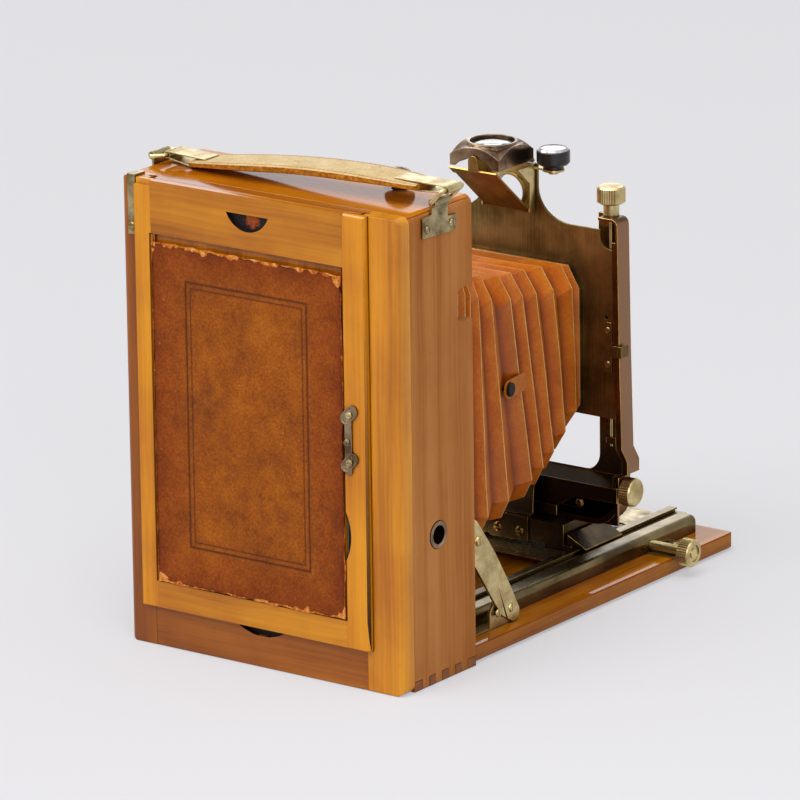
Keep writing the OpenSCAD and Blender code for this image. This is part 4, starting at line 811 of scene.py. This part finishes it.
# %% Tear its edges and note where they are
ON_EDGE = 0.0001
HINGE_ROOM = 0.0007
rim = hide.data.attributes.new("rim", "FLOAT", "POINT")
tooling = hide.data.attributes.new("tooling", "FLOAT", "POINT")
tear = hide.data.attributes.new("tear", "FLOAT", "POINT")
for index, vertex in enumerate(hide.data.vertices):
    p = vertex.co
    left, right_gap = door_high.x - p.x, p.x - door_low.x
    top, low = door_high.z - SHRUNK - p.z, p.z - door_low.z
    gap = min(left, right_gap, top, low)
    rim.data[index].value = gap * 1000
    tooling.data[index].value = min(left, right_gap, door_high.z - p.z, low) * 1000
    corner = max(0.0, 1 - (min(left, right_gap) + min(top, low)) / 0.01)
    tear.data[index].value = (1.3 if gap == top else 0.9 if gap == low else 0.25) + 1.4 * corner
    if gap < ON_EDGE:
        ragged = 0.0009 * noise.noise(p * 160) + 0.0006 * noise.noise(p * 520) + 0.0003
        p.x += ragged if right_gap < ON_EDGE else -ragged if left < ON_EDGE else 0
        p.z += ragged if low < ON_EDGE else -ragged if top < ON_EDGE else 0
        p.x = min(p.x, door_high.x - HINGE_ROOM)
    p.y += 0.00005 * noise.noise(p * 60)


def thicken(piece, thickness):
    """Give a sheet its thickness, inwards from the side that shows."""
    only(piece)
    bpy.ops.object.modifier_add(type="SOLIDIFY")
    piece.modifiers[-1].thickness = thickness
    piece.modifiers[-1].offset = -1
    bpy.ops.object.modifier_apply(modifier=piece.modifiers[-1].name)


thicken(hide, 0.0004)
bpy.ops.object.shade_smooth_by_angle(angle=math.radians(30))
seat(hide, "door")
print("hide", [round(v * 1000, 1) for v in hide.dimensions], "mm")

# %% [markdown]
# ## The hide's finish
# Hands have browned the rim, the middle is still orange, and the wheel was used
# hot, so its lines are burnt dark, and their dark colour also stands as painted
# shade in the shallow grooves. Where the edge has torn, the raw flesh side
# shows. The attributes noted on the mesh say how far each point is from the
# rim, so one material can follow the shape without any picture.

# %% Finish of the door's hide
tooled, tree, shader, ramp = leather("tooled_cowhide", ("#642C04", "#924A06", "#B4680E"),
                                     blotch=0.012, speck=0.001, rough=0.5, gloss=0.06,
                                     speckle=0.55)
rim_at, tooling_at, tear_at = [add(tree, "Attribute", attribute_name=name).outputs["Fac"]
                               for name in ("rim", "tooling", "tear")]
coords = add(tree, "TexCoord").outputs["Object"]
soil = add(tree, "ValToRGB", {0: add(tree, "MapRange", {0: rim_at, 2: 24.0})},
           stops=[(0.0, "#A8785C"), (0.08, "#D8B898"), (0.35, "#EEDCC8"), (1.0, "#FFFFFF")])
soiled = add(tree, "Mix", {0: 1.0, 6: ramp, 7: soil}, **DARKEN).outputs[2]
bruise = add(tree, "TexNoise", {"Vector": coords, "Scale": 60.0, "Detail": 5.0, "Roughness": 0.7})
dark = add(tree, "ValToRGB", {0: bruise}, stops=[(0.55, 0.0), (0.72, 0.5)])
soiled = add(tree, "Mix", {0: dark, 6: soiled, 7: colour("#5A240A")}, **OVER).outputs[2]
scrape = add(tree, "TexNoise", {"Vector": coords, "Scale": 420.0, "Detail": 3.0})
pale = add(tree, "ValToRGB", {0: scrape}, stops=[(0.68, 0.0), (0.76, 0.5)])
soiled = add(tree, "Mix", {0: pale, 6: soiled, 7: colour("#C27A44")}, **OVER).outputs[2]

# %% Soft dark lines where the wheel has burnt the hide, with painted shade in the grooves
for middle_mm, half_mm, strength in ((17.65, 1.0, 0.8), (20.0, 0.75, 0.65)):
    off = add(tree, "Math", {0: tooling_at, 1: middle_mm}, operation="SUBTRACT")
    off = add(tree, "Math", {0: off}, operation="ABSOLUTE")
    line = add(tree, "MapRange", {0: off, 2: half_mm, 3: strength, 4: 0.0},
               interpolation_type="SMOOTHSTEP")
    soiled = add(tree, "Mix", {0: line, 6: soiled, 7: colour("#451C06")}, **OVER).outputs[2]

# %% Torn places, where the orange flesh side shows
torn = add(tree, "TexNoise", {"Vector": coords, "Scale": 150.0, "Detail": 4.0, "Roughness": 0.6})
reach = add(tree, "MapRange", {0: torn, 1: 0.4, 2: 0.7, 3: 0.35, 4: 2.2})
reach = add(tree, "Math", {0: reach, 1: tear_at}, operation="MULTIPLY")
bare = add(tree, "Math", {0: reach, 1: rim_at}, operation="SUBTRACT")
# Place of each bigger tear and its size, in millimetres.
TEARS = ((26, 174.3, 2.6), (-1.5, 176.6, 3.0), (-30, 177.5, 3.2), (-43, 173.5, 3.4),
         (44, 177.5, 4.0), (50, 30.5, 2.8), (42, 29.5, 2.0), (-24, 29.5, 1.6), (-42, 31, 2.6),
         (-44.5, 140, 1.2), (52, 120, 1.0))
for x_mm, z_mm, size_mm in TEARS:
    spot = Vector((x_mm / 1000, hide_y, z_mm / 1000))
    away = add(tree, "VectorMath", {0: coords, 1: spot}, operation="DISTANCE")
    rough_edge = add(tree, "Math", {0: torn, 1: 0.008, 2: away.outputs["Value"]},
                     operation="MULTIPLY_ADD")
    inside = add(tree, "MapRange", {0: rough_edge, 1: 0.0034 + size_mm / 1000,
                                    2: 0.004 + size_mm / 1000, 3: 2.0, 4: -2.0})
    bare = add(tree, "Math", {0: bare, 1: inside}, operation="MAXIMUM")
bare = add(tree, "Math", {0: bare, 1: 2.5}, operation="MULTIPLY", use_clamp=True)
fleck = add(tree, "TexNoise", {"Vector": coords, "Scale": 500.0, "Detail": 3.0, "Roughness": 0.7})
raw = add(tree, "ValToRGB", {0: fleck},
          stops=[(0.35, "#9A4408"), (0.5, "#CC7420"), (0.68, "#E0A45C")])
soiled = add(tree, "Mix", {0: bare, 6: soiled, 7: raw}, **OVER).outputs[2]
feed(tree, shader, {"Base Color": soiled})
hide.data.materials.append(tooled)
print("tears", len(TEARS))

# %% [markdown]
# ## The door's catch
# The catch is a narrow strip of brass that slides on two screws. At each end it
# widens to a slanting oval with a raised rim, and the screw runs in a slot
# there. An oval is a short cylinder with one half moved along the slant, its
# top is inset for the rim and pushed in, and the second one is a copy.

# %% Ovals of the catch
catch_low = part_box("door_catch")[0]
OVAL_RADIUS, OVAL_RUN, OVAL_THICK, RIM, SUNK = 0.0026, 0.0046, 0.0011, 0.0006, 0.00035
SCREWS = (0.0051, 0.0251)
ovals = []
for screw in SCREWS:
    bpy.ops.object.select_all(action="DESELECT")
    bpy.ops.mesh.primitive_cylinder_add(vertices=32, radius=OVAL_RADIUS, depth=OVAL_THICK)
    oval = bpy.context.object
    oval.name = "catch_oval"
    for vertex in oval.data.vertices:
        vertex.co.x += OVAL_RUN / 2 if vertex.co.x > 1e-6 else -OVAL_RUN / 2
    bpy.ops.object.mode_set(mode="EDIT")
    bpy.ops.mesh.select_all(action="DESELECT")
    bpy.ops.object.mode_set(mode="OBJECT")
    for face in oval.data.polygons:
        face.select = face.normal.z > 0.9
    bpy.ops.object.mode_set(mode="EDIT")
    bpy.ops.mesh.inset(thickness=RIM, depth=0)
    bpy.ops.mesh.inset(thickness=0.0001, depth=-SUNK)
    bpy.ops.object.mode_set(mode="OBJECT")
    oval.rotation_euler = (-math.pi / 2, math.radians(45), 0)
    oval.location = (catch_low.x + 0.0013, catch_low.y + 0.0004, catch_low.z + screw)
    bpy.ops.object.transform_apply(location=True, rotation=True, scale=True)
    oval.data.materials.append(bronze)
    oval.data.materials.append(nickel)
    round_edges(oval, 0.12, 1)
    ovals.append(oval)
only(ovals[0])
ovals[1].select_set(True)
bpy.ops.object.join()
ovals[0].name = "catch_ovals"
seat(ovals[0], "door_catch")
print("catch ovals", [round(v * 1000, 1) for v in ovals[0].dimensions])

# %% [markdown]
# ## The carrying strap
# Two layers of leather stitched along their edges. The top has bleached to
# straw and the cut sides show rough orange fibres. A curve with a bevel would
# keep one width, but this strap narrows to its ends and swells between them.
# So it is swept as a row of rounded rectangles along the solid's curve, crowned
# a little, and roughened along its sides. Its stitches follow two attributes,
# the place across the strap and the place along it.

# %% Bleached grain with two rows of stitches
STITCH_ROW, STITCH_STEP = 0.85, 2.2
strap_hide, tree, shader, ramp = leather("strap_grain", ("#AE8E52", "#CDB27C", "#E0CBA0"),
                                         blotch=0.01, rough=0.6, grain=0.5, gloss=0.1)
across = add(tree, "Attribute", attribute_name="across").outputs["Fac"]
along = add(tree, "Attribute", attribute_name="along").outputs["Fac"]
off = add(tree, "Math", {0: across}, operation="ABSOLUTE")
off = add(tree, "Math", {0: off, 1: STITCH_ROW}, operation="SUBTRACT")
off = add(tree, "Math", {0: off}, operation="ABSOLUTE")
row = add(tree, "MapRange", {0: off, 1: 0.02, 2: 0.07, 3: 1.0, 4: 0.0})
beat = add(tree, "Math", {0: along, 1: STITCH_STEP}, operation="FLOORED_MODULO")
dash = add(tree, "MapRange", {0: beat, 1: 0.4, 2: 0.7, 3: 0.25, 4: 0.9})
stitch = add(tree, "Math", {0: row, 1: dash}, operation="MULTIPLY")
crack = add(tree, "TexNoise", {"Vector": add(tree, "TexCoord").outputs["Object"], "Scale": 240.0,
                               "Detail": 6.0, "Roughness": 0.75})
cracked = add(tree, "ValToRGB", {0: crack}, stops=[(0.56, 0.0), (0.66, 0.6)])
worn = add(tree, "Mix", {0: cracked, 6: ramp, 7: colour("#A9783C")}, **OVER).outputs[2]
sewn = add(tree, "Mix", {0: stitch, 6: worn, 7: colour("#A3552C")}, **OVER).outputs[2]
feed(tree, shader, {"Base Color": sewn})
print("a stitch every", STITCH_STEP, "mm")

# %% Shape of the strap
# Half its length, how far its middle lies to the left, its middle line and its thickness.
STRAP, SLID, STRAP_Y, STRAP_THICK = 57.4, 6.6, 23.35, 2.24
# Its section as places across and up, counted round from the right side's foot.
SECTION = ((1, 0.15), (1, 0.5), (1, 0.85), (0.93, 1.0), (0.6, 1.03), (0.2, 1.05), (-0.2, 1.05),
           (-0.6, 1.03), (-0.93, 1.0), (-1, 0.85), (-1, 0.5), (-1, 0.15), (-0.93, 0), (-0.3, 0),
           (0.3, 0), (0.93, 0))
RAGGED = (0, 1, 2, 9, 10, 11)
CUT_SIDES = (0, 1, 8, 9, 10, 15)


def strap_place(x):
    """The strap's lower side and half its width, at a place along it."""
    # It falls 6.3 mm to the right, arches up by 2.2 mm, and widens from 5 to 10.4 mm.
    u = (x + SLID + STRAP) / (2 * STRAP)
    low = 207.2 - 6.3 * u * u * (1.8 - 0.8 * u) + 2.2 * math.sin(math.pi * u)
    half = 5 + 5.4 * math.sqrt(max(0, 1 - ((x + SLID) / (STRAP + 2)) ** 4))
    return low, half


def strap_ring(x):
    low, half = strap_place(x)
    u = (x + SLID + STRAP) / (2 * STRAP)
    swollen = 0.8 * min(1, 5 * max(0, min(u - 0.08, 0.92 - u)))
    ring = []
    for turn, (across, height) in enumerate(SECTION):
        p = mm(x, STRAP_Y + across * half, low - swollen + (STRAP_THICK + swollen) * height)
        if turn in RAGGED:
            p.y += 0.0003 * noise.noise(p * 1500)
            p.z += 0.0001 * noise.noise(p * 1900)
        ring.append(p)
    return ring


# %% Sweep the strap
STATIONS, STATION_STEP = 154, 0.75


def skin(sheet, rings, finish_of):
    """Join rings of points with faces, and ask finish_of for each face's finish."""
    count = len(rings[0])
    for j, (one, two) in enumerate(zip(rings, rings[1:])):
        for k in range(count):
            face = sheet.faces.new((one[k], one[(k + 1) % count], two[(k + 1) % count], two[k]))
            face.material_index = finish_of(j, k)


def to_object(sheet, name, finishes):
    """Turn a mesh made in code into an object, with all its faces looking outwards."""
    bmesh.ops.recalc_face_normals(sheet, faces=sheet.faces)
    mesh = bpy.data.meshes.new(name)
    sheet.to_mesh(mesh)
    piece = bpy.data.objects.new(name, mesh)
    bpy.context.scene.collection.objects.link(piece)
    for finish in finishes:
        mesh.materials.append(finish)
    only(piece)
    return piece


sheet = bmesh.new()
rings = [[sheet.verts.new(p) for p in strap_ring(-STRAP - SLID + step * STATION_STEP)]
         for step in range(STATIONS)]
skin(sheet, rings, lambda j, k: 1 if k in CUT_SIDES else 0)
sheet.faces.new(rings[0][::-1]).material_index = 1
sheet.faces.new(rings[-1]).material_index = 1
strap = to_object(sheet, "strap", (strap_hide, strap_side))
across = strap.data.attributes.new("across", "FLOAT", "POINT")
along = strap.data.attributes.new("along", "FLOAT", "POINT")
for index, vertex in enumerate(strap.data.vertices):
    x = vertex.co.x * 1000
    along.data[index].value = x + 100
    across.data[index].value = (vertex.co.y * 1000 + FRONT - STRAP_Y) / strap_place(x)[1]
bpy.ops.object.shade_smooth_by_angle(angle=math.radians(40))
seat(strap, "handle_strap")
print("strap", [round(v * 1000, 1) for v in strap.dimensions], "mm")

# %% [markdown]
# ## The bellows
# Thin skiver pasted over card ribs, folded into fifteen pleats, pressed together in
# the body and pulled out towards the standard, where they lean. Every crest is
# painted pale as a highlight. It is built ring by ring, two rings close together
# at each crest so that the pale line is a real narrow face, and the corners are
# cut deeper in the valleys, which gives the zigzag along each cut corner. It is
# made in four stretches, because the front can slide, shift and rise apart from
# the back.

# %% Where the crests stand
# Shares of the way from the body to the lens, and how far the upper side hangs and the
# lower side bulges there, in millimetres.
CRESTS = (0, 0.09, 0.17, 0.24, 0.295, 0.34, 0.3775, 0.4076, 0.468, 0.5586, 0.672, 0.738, 0.807,
          0.887, 0.97, 1)
SAG = ((0, 0), (0.2, 6), (0.38, 10), (0.52, 9.3), (0.62, 8.1), (0.76, 4.1), (0.85, 2), (0.95, 0),
       (1, 0))
BELLY = ((0, 0), (0.25, -3), (0.45, -4), (0.6, 1), (0.73, 3.5), (0.86, 3), (0.93, 0), (1, 0))
BELLOWS_REAR, BELLOWS_FRONT = 38.5, -124.4
LENGTH = BELLOWS_REAR - BELLOWS_FRONT
# A valley's depth, how much more its corners are cut, and half the width of both bends.
FOLD, DEEPER, CREST_HALF, VALLEY_HALF = 3.0, 1.6, 0.3, 0.12


def lookup(table, u):
    for (u0, v0), (u1, v1) in zip(table, table[1:]):
        if u <= u1:
            return v0 + (v1 - v0) * (u - u0) / (u1 - u0)
    return table[-1][1]


def between(a, b, u):
    return a + (b - a) * u


# %% A ring of the bellows


def bellows_ring(u, drawn_in, deeper):
    """Points round the bellows at a share u of its length, eight sides with cut corners."""
    # Half its width, its top and its bottom, first at the body and then at the lens.
    w = between(58, 36, u) - drawn_in
    top = between(190, 136.45, u) - lookup(SAG, u)
    bottom = between(12, 67.65, u) - lookup(BELLY, u)
    # The folds lean up to 18 mm forwards at the foot, once they are clear of the body.
    lean = 18 * math.sin(math.radians(300 * (u - 0.4))) if u > 0.4 else 0
    slope = lean / (top - bottom)
    y = BELLOWS_REAR - LENGTH * u - slope * (top + bottom) / 2
    cut_x, cut_z = between(3.2, 5.5, u) + deeper, between(10.5, 9.5, u) + deeper
    low_x, low_z = between(3.5, 6, u) + deeper * 0.5, between(8, 8.5, u) + deeper * 0.5
    hi, lo = top - drawn_in, bottom + drawn_in * 0.4
    corners = [(w, lo + low_z), (w, hi - cut_z), (w - cut_x, hi), (cut_x - w, hi),
               (-w, hi - cut_z), (-w, lo + low_z), (low_x - w, lo), (w - low_x, lo)]
    ring = []
    for k in range(8):
        a, b = corners[k], corners[(k + 1) % 8]
        parts = 8 if k % 2 == 0 else 3
        for s in range(parts):
            t = s / parts
            x, z = between(a[0], b[0], t), between(a[1], b[1], t)
            p = mm(x, y + slope * z, z)
            sway = 0.0003 * noise.noise(p * 40)
            ring.append(p + Vector((sway, sway, sway)))
    return ring


# %% Stretches of the bellows


def bellows_part(name, first, last, node, sewn_on=()):
    """The pleats from one crest to another."""
    made = bmesh.new()
    rows = []
    for half in range(2 * first, 2 * last + 1):
        crest = half % 2 == 0
        u = (CRESTS[half // 2] + CRESTS[(half + 1) // 2]) / 2
        near = (CREST_HALF if crest else VALLEY_HALF) / LENGTH
        for side in (-1, 1):
            if (half, side) in ((2 * first, -1), (2 * last, 1)):
                side = 0
            rows.append((crest, bellows_ring(u + side * near, 0 if crest else FOLD,
                                             0 if crest else DEEPER)))
    verts = [[made.verts.new(p) for p in row] for crest, row in rows]
    # Faces between two crest rings take the painted highlight.
    skin(made, verts, lambda j, k: 1 if rows[j][0] and rows[j + 1][0] else 0)
    piece = to_object(made, name, (bellows_hide, crest_highlight_hide))
    # depth marks the valleys for the skiver's painted shade.
    depth = piece.data.attributes.new("depth", "FLOAT", "POINT")
    for index in range(len(piece.data.vertices)):
        depth.data[index].value = 0.0 if rows[index // len(verts[0])][0] else 1.0
    thicken(piece, 0.0005)
    bpy.ops.object.shade_smooth_by_angle(angle=math.radians(22))
    if sewn_on:
        for extra in sewn_on:
            extra.select_set(True)
        bpy.ops.object.join()
    print(name, last - first, "pleats,", len(piece.data.polygons), "faces")
    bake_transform(piece)
    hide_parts(node)


# %% [markdown]
# ## The bellows' stud
# A black stud holds a leather tab on the side, which can gather the folds so
# that they don't sag. Both are fixed to the leather, so they are joined to the
# stretch that they sit on. The tab starts as a cylinder with one half pulled
# out, and the stud's rim is bevelled round.

# %% The stud and its leather tab
STUD = (-46.6, -58.6, 100.2)
TILT = math.atan2(2.6, 16)


def oval_plate(name, radius, run, thick, finish):
    """A short cylinder, with one half moved by run along X, all in millimetres."""
    bpy.ops.object.select_all(action="DESELECT")
    bpy.ops.mesh.primitive_cylinder_add(vertices=32, radius=radius / 1000, depth=thick / 1000)
    made = bpy.context.object
    made.name = name
    for vertex in made.data.vertices:
        vertex.co.x += (run if vertex.co.x > 1e-6 else 0) / 1000
    made.data.materials.append(finish)
    return made


def place_on_side(piece, spot, tilt):
    """Lay a flat piece against the bellows' right side, its run towards the front."""
    turn = Matrix.Rotation(tilt, 4, "Z") @ Matrix(((0, 0, -1, 0), (-1, 0, 0, 0), (0, 1, 0, 0),
                                                    (0, 0, 0, 1)))
    piece.data.transform(Matrix.Translation(spot) @ turn)


tab = oval_plate("tab", 3.9, 13, 0.7, bellows_hide)
place_on_side(tab, mm(-45.9, STUD[1], 100), TILT)
stud = oval_plate("stud", 3.0, 0, 2.2, black_and_notch_shade)
bpy.ops.object.mode_set(mode="EDIT")
bpy.ops.mesh.select_all(action="SELECT")
bpy.ops.mesh.bevel(offset=0.0004, segments=2, affect="EDGES")
bpy.ops.object.mode_set(mode="OBJECT")
place_on_side(stud, mm(*STUD), TILT)
pin = oval_plate("stud_pin", 1.2, 0, 6, black_and_notch_shade)
place_on_side(pin, mm(STUD[0] + 3, STUD[1], STUD[2]), 0)
print("stud", [round(v * 1000, 1) for v in stud.dimensions], "mm")

# %% Four stretches of bellows
LAST = len(CRESTS) - 1
bellows_part("bellows_rear", 0, 2, "bellows_1")
bellows_part("bellows_long", 2, LAST - 3, "bellows_2",
             (tab, stud, pin))
bellows_part("bellows_shift", LAST - 3, LAST - 2, "bellows_3")
bellows_part("bellows_rise", LAST - 2, LAST, "bellows_4")
print("folds", LAST)
